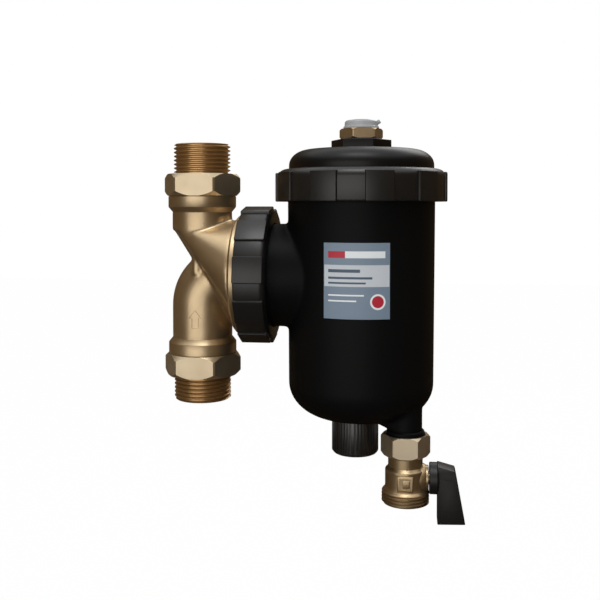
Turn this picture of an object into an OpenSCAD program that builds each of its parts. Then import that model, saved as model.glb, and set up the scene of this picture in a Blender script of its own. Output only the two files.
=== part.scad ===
// Magnetic system filter for a heating circuit, in millimetres.
// The origin is the centre of the inlet thread's end face. +Z runs up the
// pipe, +X points to the filter housing, and -Y is the front with the label.

/* [Pipe connections] */
// Outer diameter of the inlet thread, the largest of a one inch pipe thread
inlet_thread_d = 33.25; // [31:0.05:35]
// Outer diameter of the outlet thread, inside the tolerance of the same thread
outlet_thread_d = 33.25; // [31:0.05:35]
// Pitch of the pipe threads
pipe_thread_pitch = 2.309; // [1.8:0.001:2.6]
// Depth of the pipe threads
pipe_thread_depth = 1.48; // [1:0.01:1.6]
// Length of the inlet thread
inlet_thread_l = 14.5; // [11:0.5:20]
// Length of the outlet thread
outlet_thread_l = 17.5; // [12:0.5:24]
// Width across flats of the nipples' hexagons
nipple_af = 40; // [38.5:0.5:44]
// Length of the nipples' hexagons
nipple_hex_l = 12.8; // [8:0.1:18]
// Bore of the nipples
nipple_bore_d = 26; // [20:0.5:27]
// Outer diameter of the nipples' ends in the casting
spigot_d = 32.65; // [31:0.05:34]
// Depth of the sockets that the nipples screw into
socket_l = 8; // [6:0.5:8.5]
// Thickness of the sealing washers in the sockets
washer_t = 1.2; // [0.8:0.1:2]

/* [Diverter casting] */
// Distance from the union's axis to the end of each collar
collar_reach = 46.2; // [44:0.1:52]
// Wall thickness of the collars round their sockets
collar_wall = 3.475; // [2.5:0.025:4]
// Length of the collars, with their chamfer
collar_l = 9; // [8.6:0.1:11]
// Outer diameter of the cast pipes
cast_d = 35; // [34:0.5:36]
// Wall thickness of the casting
cast_wall = 4.2; // [3:0.1:5]
// Height above the union's axis at which the upper pipe starts to open out
funnel_top = 26; // [22:0.5:30]
// Distance from the pipe's axis to the face of the union flange
flange_face_x = 22.8; // [22:0.1:27]
// Height of the union flange's lip over the union thread
flange_lip = 1.5; // [1:0.1:4]
// Thickness of the union flange
flange_t = 2.6; // [2:0.1:5]
// Step from the flange's edge to the funnel behind it
funnel_step = 2.5; // [1.5:0.1:4]
// Length of the union thread
union_thread_l = 8; // [6:0.5:9]
// Height of the union thread's crests over the housing's neck
union_thread_rise = 3.1; // [2.5:0.1:4]
// Pitch of the union thread
union_thread_pitch = 2.5; // [2:0.1:3]
// Length of the inner spout past the union thread
spout_reach = 6; // [5.5:0.5:9]
// Wall thickness of the inner spout
spout_wall = 2.9; // [2.4:0.1:3.4]

/* [Union ring] */
// Width of the union ring
union_ring_w = 18; // [17:0.5:22]
// Wall thickness of the union ring between its grips
union_ring_wall = 5.4; // [4:0.1:7]
// Height of the grips' faces over the union ring
union_grip_rise = 0.7; // [0.3:0.1:2]
// Number of grips round the union ring
union_grips = 10; // [6:1:14]
// Width of one grip
union_grip_w = 14.9; // [10:0.1:18]
// Thickness of the ring's shoulder
union_shoulder_t = 5; // [3:0.5:6]
// Turn of the first grip from the front, upwards
union_grip_turn = 8.2; // [0:0.1:36]

/* [Housing] */
// Distance between the union ring and the housing's side
ring_clearance = 7.85; // [6:0.05:20]
// Outer diameter of the housing under the lid ring
housing_top_d = 84.4; // [83:0.2:86]
// Outer diameter of the housing above its rounded bottom
housing_foot_d = 83.2; // [82:0.2:84]
// Wall thickness of the housing
housing_wall = 3.6; // [2.5:0.1:4]
// Height of the housing's rim above the union's axis
rim_height = 56; // [54:0.5:64]
// Depth of the housing's bottom below the union's axis
bottom_depth = 81; // [76:0.5:90]
// Radius of the rounded bottom edge
bottom_round = 18; // [14:0.5:20]
// Diameter of the union neck
neck_d = 59.8; // [58:0.2:61]
// Wall thickness of the union neck
neck_wall = 3.9; // [3:0.1:5]
// Height of the lid thread's crests over the housing
lid_thread_rise = 2.2; // [1.8:0.1:3]
// Length of the lid thread
lid_thread_l = 10; // [7:0.5:10.5]
// Pitch of the lid thread
lid_thread_pitch = 3; // [2:0.5:4]
// Thickness of the union gasket
gasket_t = 2; // [1.5:0.1:3]
// Width of the split ring that holds the union ring on the neck
split_ring_w = 2; // [1.5:0.1:2.5]
// Height of the split ring over the neck
split_ring_rise = 3; // [2:0.1:3.1]
// Depth of the split ring's groove in the neck
split_groove_depth = 1.5; // [1:0.1:2]

/* [Flow insert] */
// Wall thickness of the flow insert round the spout
insert_wall = 1.7; // [1.4:0.1:3]
// Height of the step that the spout ends at in the flow insert
insert_step = 1.5; // [1:0.1:3]
// Number of spokes that hold the flow insert in the neck
insert_spokes = 4; // [3:1:6]
// Thickness of a spoke
insert_spoke_t = 2.5; // [2:0.5:4]

/* [Lid] */
// Distance of the dome's side inside the housing's side
lid_inset = 0.6; // [0:0.1:1.5]
// Height of the dome's shoulder above the housing's rim
dome_shoulder = 16.4; // [14:0.1:24]
// Radius of the dome's edge
dome_round = 9.5; // [8:0.5:11]
// Rise of the dome from its shoulder to the hexagon
dome_rise = 1.2; // [0.5:0.1:2]
// Wall thickness of the lid
lid_wall = 3.6; // [3:0.1:4]
// Distance of the lid's flange inside the crests of the lid thread
lid_flange_inset = 0.2; // [0:0.1:0.5]
// Thickness of the lid's clamped flange
lid_flange_t = 3; // [2:0.1:4]
// Length of the lid's spigot in the housing
lid_spigot_l = 9; // [8:0.5:10]
// Thickness of the lid's O-ring
lid_o_ring_t = 2.6; // [2:0.1:3]
// Width across flats of the hexagon on the lid
lid_hex_af = 30.2; // [29:0.1:32]
// Height of the lid's hexagon above the dome's shoulder
lid_hex_h = 5.6; // [3:0.1:8]
// Turn of the lid's hexagon from square
lid_hex_turn = -3.5; // [-30:0.5:30]

/* [Lid ring] */
// Depth of the lid ring's lower edge below the housing's rim
lid_ring_drop = 13.3; // [13:0.1:16]
// Thickness of the lid ring's roof over the lid's flange
lid_roof_t = 1.9; // [1.5:0.1:3]
// Wall thickness of the lid ring, also at the faces of its grips
lid_ring_wall = 4.3; // [4:0.1:6]
// Number of grips round the lid ring
lid_grips = 10; // [6:1:12]
// Width of one grip
lid_grip_w = 15.6; // [10:0.1:18]
// Distance from the top of a grip to the top of the lid ring
lid_grip_drop = 2.2; // [1.8:0.1:6]
// Radius of the lid ring's upper edge
lid_ring_round = 4.5; // [2:0.1:5]
// Turn of the first grip from the front
lid_grip_turn = 15; // [0:0.5:36]

/* [Air vent] */
// Width across flats of the vent's hexagon
vent_af = 22; // [20:0.5:24]
// Length of the vent's hexagon
vent_hex_l = 5.7; // [4:0.1:7]
// Diameter of the vent's shank in the lid
vent_shank_d = 16.6; // [14:0.1:18]
// Length of the vent's shank
vent_shank_l = 11; // [9:0.5:14]
// Bore of the vent
vent_bore_d = 6; // [4:0.5:8]
// Thickness of the vent's seal
vent_seal_t = 0.7; // [0.5:0.1:1.5]
// Turn of the vent's hexagon
vent_turn = -9; // [-30:1:30]
// Diameter of the vent cap
vent_cap_d = 20.6; // [19:0.1:21.5]
// Height of the vent cap
vent_cap_h = 5.4; // [5:0.1:7]
// Wall thickness of the vent cap round the vent's stub
vent_cap_wall = 2.5; // [1.5:0.1:3]

/* [Strainer] */
// Distance between the strainer's mesh and the edge of its end rings
mesh_inset = 11.4; // [9:0.1:14]
// Thickness of the strainer's mesh
mesh_t = 0.8; // [0.5:0.1:1.2]
// Thickness of the strainer's end rings
strainer_ring_t = 3; // [2:0.5:4]
// Height of the strainer's foot above the housing's floor
strainer_foot_h = 25.4; // [20:0.1:32]
// Gap between the strainer's foot and the housing's bore
strainer_gap = 0.5; // [0.3:0.1:0.8]
// Number of ribs inside the mesh
strainer_ribs = 5; // [3:1:8]
// Angle of the outermost ribs from the side away from the inlet collar
strainer_rib_spread = 120; // [100:5:125]
// Thickness of a rib towards the strainer's axis
strainer_rib_t = 2.5; // [1.5:0.1:2.8]
// Wall thickness of the strainer's inlet collar
saddle_wall = 3.5; // [2.5:0.1:4.5]

/* [Magnet] */
// Distance of the magnet's axis from the housing's axis, to the pipe
magnet_dx = -3.4; // [-5:0.1:0]
// Distance of the magnet's axis from the housing's axis, to the back
magnet_dy = 3.2; // [0:0.1:5]
// Outer diameter of the magnet's pocket
pocket_d = 18; // [17:0.2:19]
// Wall thickness of the magnet's pocket
pocket_wall = 1.2; // [0.8:0.1:1.5]
// Height of the pocket's closed end above the union's axis
pocket_top = 30; // [20:1:36]
// Length of the boss for the magnet's cap
magnet_boss_l = 14; // [12:0.5:15]
// Wall thickness of the boss for the magnet's cap
magnet_boss_wall = 2.45; // [2:0.05:3]
// Thickness of the pocket's flange
pocket_flange_t = 1.8; // [1:0.1:2.5]
// Wall thickness of the magnet's cap, with its ribs
magnet_cap_wall = 1.75; // [1.5:0.05:2.5]
// Room between the pocket's flange and the floor of the magnet's cap
magnet_cap_room = 3.7; // [2:0.1:5]
// Number of ribs round the magnet's cap
cap_ribs = 30; // [18:1:36]
// Height of a rib on the magnet's cap
cap_rib_h = 0.45; // [0.2:0.05:0.6]
// Thickness of the floor of the magnet's cap
cap_floor_t = 3; // [2:0.5:4]
// Diameter of the magnet's core rod
core_d = 5; // [4:0.5:7]
// Number of magnets on the core rod
magnets = 5; // [3:1:7]
// Length of one magnet
magnet_l = 16; // [10:1:18]
// Thickness of one steel pole piece between the magnets
pole_t = 3; // [1.5:0.5:4]
// Gap between the magnets and their pocket
magnet_gap = 0.6; // [0.4:0.1:1]

/* [Drain connection] */
// Distance of the drain's axis from the housing's side away from the pipe
drain_side_inset = 15.7; // [14.5:0.1:18]
// Distance of the drain's axis from the housing's front
drain_front_inset = 26; // [24:0.1:28]
// Outer diameter of the drain neck, a half inch pipe thread
drain_neck_d = 20.9; // [19.5:0.05:21.5]
// Bore of the drain neck
drain_bore_d = 11; // [8:0.5:12]
// Length of the drain neck below the housing
drain_neck_l = 12.2; // [11:0.1:13]
// Least wall thickness of the drain's union nut, at its flats
drain_nut_wall = 1.25; // [1:0.05:3]
// Height of the drain's union nut
drain_nut_h = 11.7; // [10:0.1:12.5]
// Top of the nut below the housing's bottom
drain_nut_drop = 5.5; // [4:0.1:7]
// Thickness of the drain's gasket
drain_gasket_t = 1; // [0.8:0.1:1.4]

/* [Drain valve] */
// Depth of the ball's centre below the drain's union nut
ball_drop = 12.9; // [12:0.1:15]
// Diameter of the ball
ball_d = 15.6; // [14:0.2:16]
// Bore of the ball
ball_bore_d = 9; // [7:0.5:10]
// Wall thickness of the valve's round body
valve_wall = 2.75; // [2:0.05:4]
// Step from the valve's round body to its waist under the nut
valve_waist_step = 1.65; // [1:0.05:2]
// Outer diameter of the drain thread, a three quarter inch pipe thread
drain_thread_d = 26.44; // [25:0.02:28]
// Pitch of the drain thread
drain_thread_pitch = 1.814; // [1.4:0.001:2.2]
// Depth of the drain thread
drain_thread_depth = 1.16; // [0.8:0.01:1.3]
// Length of the drain thread
drain_thread_l = 6; // [4:0.5:7]
// Depth of the valve's outlet end below the ball's centre
outlet_drop = 13.8; // [13:0.1:20]
// Wall thickness of the boss for the stem
stem_boss_wall = 3.42; // [2.5:0.02:4]
// Reach of the stem's boss past the valve's round body
stem_boss_rise = 1.55; // [1:0.05:4]
// Diameter of the stem
stem_d = 7; // [6:0.2:8]
// Width across flats of the stem's driving tang
tang_w = 3; // [2:0.2:4]

/* [Drain lever] */
// Diameter of the lever's hub
hub_d = 17.4; // [15:0.1:19]
// Width of the lever's hub
hub_w = 4.4; // [3:0.1:6]
// Thickness of the lever's blade at its top
blade_top_t = 9.7; // [8:0.1:12]
// Thickness of the lever's blade at its tip
blade_tip_t = 15.2; // [12:0.1:18]
// Distance from the stem's axis to the lever's tip
lever_reach = 24.1; // [20:0.1:32]
// Width of the lever's blade
blade_w = 12; // [10:0.5:14]

/* [Label] */
// Height of the label
label_h = 40.5; // [30:0.5:46]
// Angle that the label covers
label_angle = 49; // [30:1:60]
// Thickness of the label
label_t = 0.3; // [0.2:0.05:0.5]

/* [Fits] */
// Gap between pieces that turn or slide against each other
turn_gap = 0.3; // [0.2:0.05:0.4]
// Gap round pieces that are screwed or pressed together
seat_gap = 0.05; // [0.02:0.01:0.1]
// Radial gap of the stem in its bore
stem_gap = 0.08; // [0.05:0.01:0.1]

/* [Hidden] */
$fn = 96;
eps = 0.01;

brass = [0.75, 0.67, 0.53];
thread_brass = [0.67, 0.49, 0.27];
black = [0.08, 0.08, 0.09];
dark_grey = [0.2, 0.2, 0.21];
steel = [0.7, 0.7, 0.72];
rubber = [0.05, 0.05, 0.05];

// Diameters that follow from one another, from the union outwards
socket_d = spigot_d + 2 * seat_gap;
collar_d = socket_d + 2 * collar_wall;
union_thread_d = neck_d + 2 * union_thread_rise;
flange_d = union_thread_d + 2 * flange_lip;
funnel_d = flange_d - 2 * funnel_step;
neck_bore_d = neck_d - 2 * neck_wall;
split_ring_d = neck_d + 2 * split_ring_rise;
ring_bore_d = union_thread_d + 2 * turn_gap;
union_ring_d = ring_bore_d + 2 * union_ring_wall;
union_grip_af = union_ring_d + 2 * union_grip_rise;

// Axes and levels
union_z = inlet_thread_l + nipple_hex_l + collar_reach;
union_thread_x = flange_face_x + flange_t;
ring_x = union_thread_x + turn_gap - seat_gap;
ring_end_x = ring_x + union_ring_w;
centre_distance = ring_end_x + ring_clearance + housing_top_d / 2;
drain_dx = housing_foot_d / 2 - drain_side_inset;
drain_dy = drain_front_inset - housing_foot_d / 2;
drain_x = centre_distance + drain_dx;
magnet_x = centre_distance + magnet_dx;
rim_z = union_z + rim_height;
bottom_z = union_z - bottom_depth;
cavity_floor_z = bottom_z + housing_wall;

// Diverter and union
spigot_l = socket_l - washer_t;
cast_bore_d = cast_d - 2 * cast_wall;
spout_d = cast_bore_d + 2 * spout_wall;
elbow_r = cast_d / 2 + 0.1;
union_face_x = union_thread_x + union_thread_l;
chamber_d = union_thread_d - 2 * cast_wall - 2.6;
spout_end_x = union_face_x + spout_reach;
spout_o_ring_t = 1.8;
spout_groove_d = spout_d + 2 * turn_gap - 2 * spout_o_ring_t - 4 * seat_gap;
neck_face_x = union_face_x + gasket_t;
insert_seat_d = spout_d + 2 * turn_gap;
insert_d = insert_seat_d + 2 * insert_wall;
insert_bore_d = insert_seat_d - 2 * insert_step;
shoulder_x = ring_end_x - union_shoulder_t;
split_ring_x = shoulder_x - turn_gap - split_ring_w;
groove_d = neck_d - 2 * split_groove_depth;

// Label, which clears the slightly tapered housing at both its edges
label_z = union_z + 0.5 - label_h / 2;
taper_foot_z = bottom_z + bottom_round;
taper_top_z = rim_z - lid_thread_l - 3;
label_r = max(housing_r(label_z), housing_r(label_z + label_h)) + seat_gap;

// Housing bore, lid and ring
bore_d = housing_foot_d - 2 * housing_wall - 0.2;
bore_round = bottom_round - housing_wall;
lid_thread_d = housing_top_d + 2 * lid_thread_rise;
lid_flange_d = lid_thread_d - 2 * lid_flange_inset;
lid_d = housing_top_d - 2 * lid_inset;
lid_spigot_d = bore_d - 2 * turn_gap;
lid_spigot_inner_d = lid_spigot_d - 2 * lid_wall;
lid_flange_top_z = rim_z + lid_flange_t;
o_ring_seat_d = bore_d - 2 * lid_o_ring_t - 6 * seat_gap;
o_ring_z = rim_z - lid_spigot_l / 2;
dome_shoulder_z = rim_z + dome_shoulder;
lid_hex_top_z = dome_shoulder_z + lid_hex_h;
lid_ring_bottom_z = rim_z - lid_ring_drop;
lid_ring_top_z = lid_flange_top_z + turn_gap + lid_roof_t;
lid_ring_h = lid_ring_top_z - lid_ring_bottom_z;
lid_ring_bore_d = lid_thread_d + 2 * turn_gap;
lid_ring_d = lid_ring_bore_d + 2 * lid_ring_wall;
lid_ring_mouth_d = lid_d + 2 * turn_gap;

// Vent
vent_hex_z = lid_hex_top_z + vent_seal_t;
vent_cap_z = vent_hex_z + vent_hex_l + turn_gap - 0.1;
vent_stub_l = vent_cap_h - 3;
vent_stub_d = vent_cap_d - 2 * vent_cap_wall - 2 * turn_gap;

// Strainer
strainer_d = bore_d - 2 * strainer_gap;
strainer_top_z = rim_z - lid_spigot_l;
strainer_foot_z = cavity_floor_z + strainer_foot_h;
mesh_d = strainer_d - 2 * mesh_inset;
mesh_inner_r = mesh_d / 2 - mesh_t - seat_gap;
insert_end_r = strainer_d / 2 + turn_gap;
saddle_d = insert_bore_d + 2 * saddle_wall;

// Magnet
pocket_hole_d = pocket_d + 2 * seat_gap;
magnet_boss_d = pocket_hole_d + 2 * magnet_boss_wall;
magnet_cap_bore_d = magnet_boss_d + 2 * turn_gap;
magnet_cap_d = magnet_cap_bore_d + 2 * magnet_cap_wall;
magnet_d = pocket_d - 2 * pocket_wall - 2 * magnet_gap;
boss_end_z = bottom_z - magnet_boss_l;
pocket_end_z = boss_end_z - pocket_flange_t;
magnet_cap_top_z = bottom_z - 0.5;
cap_floor_z = pocket_end_z - magnet_cap_room;
magnet_cap_end_z = cap_floor_z - cap_floor_t;
magnet_cap_l = magnet_cap_top_z - magnet_cap_end_z;
core_z = cap_floor_z + turn_gap;
magnet_stack_z = pocket_end_z + 4;
magnet_step = magnet_l + pole_t;
pocket_roof_z = union_z + pocket_top - pocket_wall;
core_top_z = min(magnet_stack_z + magnets * magnet_step + pole_t, pocket_roof_z - 1);

// Drain
nut_top_z = bottom_z - drain_nut_drop;
nut_end_z = nut_top_z - drain_nut_h;
drain_neck_end_z = bottom_z - drain_neck_l;
drain_gasket_z = drain_neck_end_z - turn_gap - drain_gasket_t;
tail_flange_t = 1.8;
tail_flange_z = drain_gasket_z - tail_flange_t;
ball_cavity_d = ball_d + 1.4;
valve_d = ball_cavity_d + 2 * valve_wall;
valve_waist_d = valve_d - 2 * valve_waist_step;
tail_d = valve_waist_d - 3;
nut_lip_d = tail_d + 2 * turn_gap;
nut_bore_d = drain_neck_d + 2 * turn_gap;
drain_nut_af = nut_bore_d + 2 * drain_nut_wall;
ball_z = nut_end_z - ball_drop;
valve_top_z = nut_end_z - turn_gap;
valve_end_z = ball_z - outlet_drop;
seat_reach = ball_d / 2 + 0.4;
insert_top_z = ball_z - seat_reach - seat_gap;
waist_end_z = ball_z + 5.6;
shoulder_z = ball_z - 7.4;
stem_hole_d = stem_d + 2 * stem_gap;
stem_boss_d = stem_hole_d + 2 * stem_boss_wall;
stem_boss_reach = valve_d / 2 + stem_boss_rise;
hub_x = stem_boss_reach + 0.4;
blade_x = hub_x + hub_w;
stem_end_x = blade_x + 1;
lever_top = hub_d / 2;

// Points of an arc in the radius and height plane, from angle a to angle b.
function arc(cx, cz, r, a, b, n = 8) =
    [for (i = [0:n]) let (t = a + (b - a) * i / n) [cx + r * cos(t), cz + r * sin(t)]];

// Radius of the tapered housing at a height.
function housing_r(z) = (housing_foot_d + (housing_top_d - housing_foot_d)
    * (z - taper_foot_z) / (taper_top_z - taper_foot_z)) / 2;

// One ridge of a thread profile, whose crest ends at z: flank, crest, flank.
function ridge(r, depth, pitch, z) = [
    [r - depth, z - 0.56 * pitch], [r, z - 0.3 * pitch], [r, z], [r - depth, z + 0.26 * pitch]
];

// Solid rod with thread ridges, the last of which is flush with its end.
module ridged_rod(r, depth, pitch, l) {
    count = floor(l / pitch - 0.56);
    ridges = [for (i = [count:-1:1]) each ridge(r, depth, pitch, l - i * pitch)];
    rotate_extrude()
        polygon(concat([[0, 0], [r - depth, 0]], ridges,
                       [[r - depth, l - 0.56 * pitch], [r, l - 0.3 * pitch], [r, l], [0, l]]));
}

// Hexagon with its corners turned off a little and chamfered at both ends by a drop.
module hexagon(af, l, drop, corner_d) {
    corner = corner_d / 2;
    intersection() {
        cylinder(d = af / cos(30), h = l, $fn = 6);
        rotate_extrude()
            polygon([[0, 0], [corner - drop, 0], [corner, drop], [corner, l - drop],
                     [corner - drop, l], [0, l]]);
    }
}

module ring(outer_d, inner_d, h) {
    difference() {
        cylinder(d = outer_d, h = h);
        translate([0, 0, -1]) cylinder(d = inner_d, h = h + 2);
    }
}

module torus(centre_d, t) {
    rotate_extrude() translate([centre_d / 2, 0]) circle(d = t);
}

module at_housing(z = 0) { translate([centre_distance, 0, z]) children(); }
module at_magnet(z = 0) { translate([magnet_x, magnet_dy, z]) children(); }
module at_drain(z = 0) { translate([drain_x, drain_dy, z]) children(); }
module along_union(x = 0) { translate([x, 0, union_z]) rotate([0, 90, 0]) children(); }

// ---- Diverter -------------------------------------------------------------

// Elbow from the lower pipe to the union's axis.
module lower_channel(d, foot) {
    translate([0, 0, foot]) cylinder(d = d, h = union_z - elbow_r - foot);
    translate([elbow_r, 0, union_z - elbow_r]) rotate([90, 0, 0]) rotate([0, 0, 90])
        rotate_extrude(angle = 90) translate([elbow_r, 0]) circle(d = d);
}

// Funnel that opens from the upper pipe to the whole union flange.
module upper_funnel(pipe_d, mouth_d, mouth_x) {
    hull() {
        translate([0, 0, union_z + funnel_top]) cylinder(d = pipe_d, h = 2, $fn = 48);
        along_union(mouth_x) cylinder(d = mouth_d, h = 2.5, $fn = 64);
    }
}

module collar(side) {
    translate([0, 0, union_z]) mirror([0, 0, side < 0 ? 1 : 0])
        rotate_extrude()
            polygon([[0, collar_reach - collar_l], [cast_d / 2, collar_reach - collar_l],
                     [collar_d / 2, collar_reach - collar_l + 2],
                     [collar_d / 2, collar_reach], [0, collar_reach]]);
}

module diverter_body() {
    color(brass) difference() {
        union() {
            collar(1);
            collar(-1);
            translate([0, 0, union_z + funnel_top])
                cylinder(d = cast_d, h = collar_reach - collar_l - funnel_top + eps);
            lower_channel(cast_d, union_z - collar_reach + eps);
            upper_funnel(cast_d - 0.4, funnel_d, flange_face_x - 2.5);
            along_union(flange_face_x) cylinder(d = flange_d, h = flange_t);
            along_union(union_thread_x - eps)
                ridged_rod(union_thread_d / 2, 1.2, union_thread_pitch, union_thread_l + eps);
            along_union(elbow_r) cylinder(d = spout_d, h = spout_end_x - elbow_r);
        }
        difference() {
            union() {
                upper_funnel(cast_bore_d, chamber_d, flange_face_x - 2.5);
                along_union(flange_face_x - 2)
                    cylinder(d = chamber_d, h = union_face_x - flange_face_x + 3);
                translate([0, 0, union_z + funnel_top])
                    cylinder(d = cast_bore_d, h = collar_reach - funnel_top);
            }
            lower_channel(cast_d, union_z - collar_reach);
            along_union(elbow_r - eps) cylinder(d = spout_d, h = spout_end_x);
        }
        lower_channel(cast_bore_d, union_z - collar_reach - 1);
        along_union(elbow_r - eps) cylinder(d = cast_bore_d, h = spout_end_x);
        translate([0, 0, union_z + collar_reach - socket_l])
            cylinder(d = socket_d, h = socket_l + 1);
        translate([0, 0, union_z - collar_reach - 1])
            cylinder(d = socket_d, h = socket_l + 1);
        spout_groove();
    }
}

module spout_groove() {
    along_union(spout_end_x - 3.6) ring(spout_d + 1, spout_groove_d, spout_o_ring_t + 0.2);
}

module spout_o_ring() {
    color(rubber) along_union(spout_end_x - 2.6)
        torus(spout_groove_d + spout_o_ring_t + 2 * seat_gap, spout_o_ring_t);
}

// Nipple that stands on its hexagon's inner face and points up.
module nipple(thread_d, thread_l) {
    difference() {
        union() {
            hexagon(nipple_af, nipple_hex_l, 2.5, nipple_af / cos(30) - 0.7);
            translate([0, 0, -spigot_l]) cylinder(d = spigot_d, h = spigot_l + eps);
            translate([0, 0, nipple_hex_l - eps])
                ridged_rod(thread_d / 2, pipe_thread_depth, pipe_thread_pitch, thread_l + eps);
        }
        translate([0, 0, -spigot_l - 1])
            cylinder(d = nipple_bore_d, h = spigot_l + nipple_hex_l + thread_l + 2);
    }
}

module upper_nipple() {
    color(thread_brass) translate([0, 0, union_z + collar_reach])
        nipple(outlet_thread_d, outlet_thread_l);
}

module lower_nipple() {
    color(thread_brass) translate([0, 0, union_z - collar_reach]) mirror([0, 0, 1])
        nipple(inlet_thread_d, inlet_thread_l);
}

module upper_nipple_washer() {
    color(rubber) translate([0, 0, union_z + collar_reach - socket_l])
        ring(spigot_d, nipple_bore_d + 0.6, washer_t);
}

module lower_nipple_washer() {
    color(rubber) translate([0, 0, union_z - collar_reach + spigot_l])
        ring(spigot_d, nipple_bore_d + 0.6, washer_t);
}

// ---- Union ----------------------------------------------------------------

// Flat grips that stand round a ring whose axis is Z.
module grips(af, w, h, count, inner_d, limit_d) {
    intersection() {
        cylinder(d = limit_d, h = h);
        for (i = [0:count - 1]) rotate([0, 0, i * 360 / count])
            translate([inner_d / 2, -w / 2, 0]) cube([(af - inner_d) / 2, w, h]);
    }
}

module union_ring() {
    color(dark_grey) along_union(ring_x) difference() {
        union() {
            rotate_extrude() polygon([
                [0, 0], [union_ring_d / 2 - 1.5, 0], [union_ring_d / 2, 1.5],
                [union_ring_d / 2, union_ring_w - 2.5], [union_ring_d / 2 - 2.5, union_ring_w],
                [0, union_ring_w]]);
            rotate([0, 0, 90 - union_grip_turn])
                grips(union_grip_af, union_grip_w, union_ring_w - 1, union_grips,
                      union_ring_d - 6, union_grip_af + 1.4);
        }
        translate([0, 0, -1]) cylinder(d = ring_bore_d, h = union_ring_w - union_shoulder_t + 1);
        cylinder(d = neck_d + 2 * turn_gap, h = union_ring_w + 1);
    }
}

module union_gasket() {
    color(rubber) along_union(union_face_x)
        ring(union_thread_d - 3, neck_bore_d + 5, gasket_t);
}

module split_ring() {
    color(steel) along_union(split_ring_x) difference() {
        ring(split_ring_d, groove_d + 2 * seat_gap, split_ring_w);
        translate([0, -1.5, -1]) cube([split_ring_d, 3, split_ring_w + 2]);
    }
}

// ---- Housing --------------------------------------------------------------

module housing_shell() {
    foot_r = housing_foot_d / 2;
    rotate_extrude() polygon(concat(
        [[0, bottom_z]],
        arc(foot_r - bottom_round, taper_foot_z, bottom_round, -90, 0, 10),
        [[housing_top_d / 2, taper_top_z], [housing_top_d / 2, rim_z],
         [0, rim_z]]));
    translate([0, 0, rim_z - lid_thread_l - 1.5])
        ridged_rod(lid_thread_d / 2, 1.6, lid_thread_pitch, lid_thread_l + 1.5);
}

module housing_cavity() {
    r = bore_d / 2;
    rotate_extrude() polygon(concat(
        [[0, cavity_floor_z]],
        arc(r - bore_round, cavity_floor_z + bore_round, bore_round, -90, 0, 10),
        [[r, rim_z + 1], [0, rim_z + 1]]));
}

module drain_neck() {
    at_drain(drain_neck_end_z)
        cylinder(d = drain_neck_d, h = bottom_z + bottom_round - drain_neck_end_z);
    at_drain(bottom_z - 2) cylinder(d1 = drain_neck_d, d2 = drain_neck_d + 4, h = 12);
}

module housing() {
    color(black) difference() {
        union() {
            at_housing() housing_shell();
            along_union(neck_face_x) cylinder(d = neck_d, h = centre_distance - neck_face_x);
            drain_neck();
            at_magnet(boss_end_z)
                cylinder(d = magnet_boss_d, h = magnet_boss_l + housing_wall);
        }
        at_housing() housing_cavity();
        along_union(neck_face_x - 1)
            cylinder(d = neck_bore_d, h = centre_distance - neck_face_x);
        along_union(split_ring_x - seat_gap)
            ring(neck_d + 2, groove_d, split_ring_w + 2 * seat_gap);
        at_drain(drain_neck_end_z - 1)
            cylinder(d = drain_bore_d, h = bottom_round + drain_neck_l);
        at_magnet(boss_end_z - 1)
            cylinder(d = pocket_hole_d, h = magnet_boss_l + housing_wall + 2);
        at_magnet(cavity_floor_z - 2.4) cylinder(d = pocket_d + 4, h = 3);
    }
}

module label() {
    color("slategray") at_housing(label_z) rotate([0, 0, -90 - label_angle / 2])
        rotate_extrude(angle = label_angle)
            translate([label_r, 0]) square([label_t, label_h]);
}

module flow_insert() {
    x0 = union_face_x + turn_gap;
    color(dark_grey) difference() {
        along_union(x0) union() {
            ring(insert_d, insert_bore_d, centre_distance - x0);
            intersection() {
                cylinder(d = neck_bore_d - 2 * seat_gap, h = 12);
                for (i = [0:insert_spokes - 1]) rotate([0, 0, 45 + i * 360 / insert_spokes])
                    translate([insert_bore_d / 2 + 1, -insert_spoke_t / 2, 3])
                        cube([neck_bore_d, insert_spoke_t, 9]);
            }
        }
        along_union(x0 - 1) cylinder(d = insert_seat_d, h = spout_end_x - x0 + 1.5);
        at_housing(union_z - insert_d) cylinder(r = insert_end_r, h = 2 * insert_d);
    }
}

// ---- Lid ------------------------------------------------------------------

module lid_solid(inset, shoulder_z, edge_r) {
    r = lid_d / 2 - inset;
    crown_z = shoulder_z + dome_rise;
    rotate_extrude() polygon(concat(
        [[0, rim_z], [r, rim_z]],
        arc(r - edge_r, shoulder_z - edge_r, edge_r, 0, 84, 8),
        [[lid_hex_af / 2, crown_z], [0, crown_z]]));
}

module lid() {
    color(black) at_housing() difference() {
        union() {
            lid_solid(0, dome_shoulder_z, dome_round);
            translate([0, 0, rim_z]) cylinder(d = lid_flange_d, h = lid_flange_t);
            translate([0, 0, rim_z - lid_spigot_l]) cylinder(d = lid_spigot_d, h = lid_spigot_l);
            translate([0, 0, dome_shoulder_z - 4]) rotate([0, 0, lid_hex_turn])
                cylinder(d = lid_hex_af / cos(30), h = lid_hex_h + 4, $fn = 6);
        }
        lid_solid(lid_wall + 2, dome_shoulder_z - lid_wall, dome_round - lid_wall);
        translate([0, 0, rim_z - lid_spigot_l - 1])
            cylinder(d = lid_spigot_inner_d, h = lid_spigot_l + 2);
        translate([0, 0, dome_shoulder_z - 8])
            cylinder(d = vent_shank_d + 2 * seat_gap, h = 20);
        translate([0, 0, o_ring_z - lid_o_ring_t / 2 - 0.2])
            ring(lid_spigot_d + 2, o_ring_seat_d, lid_o_ring_t + 0.4);
    }
}

module lid_o_ring() {
    color(rubber) at_housing(o_ring_z)
        torus(o_ring_seat_d + lid_o_ring_t + 2 * seat_gap, lid_o_ring_t);
}

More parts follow.
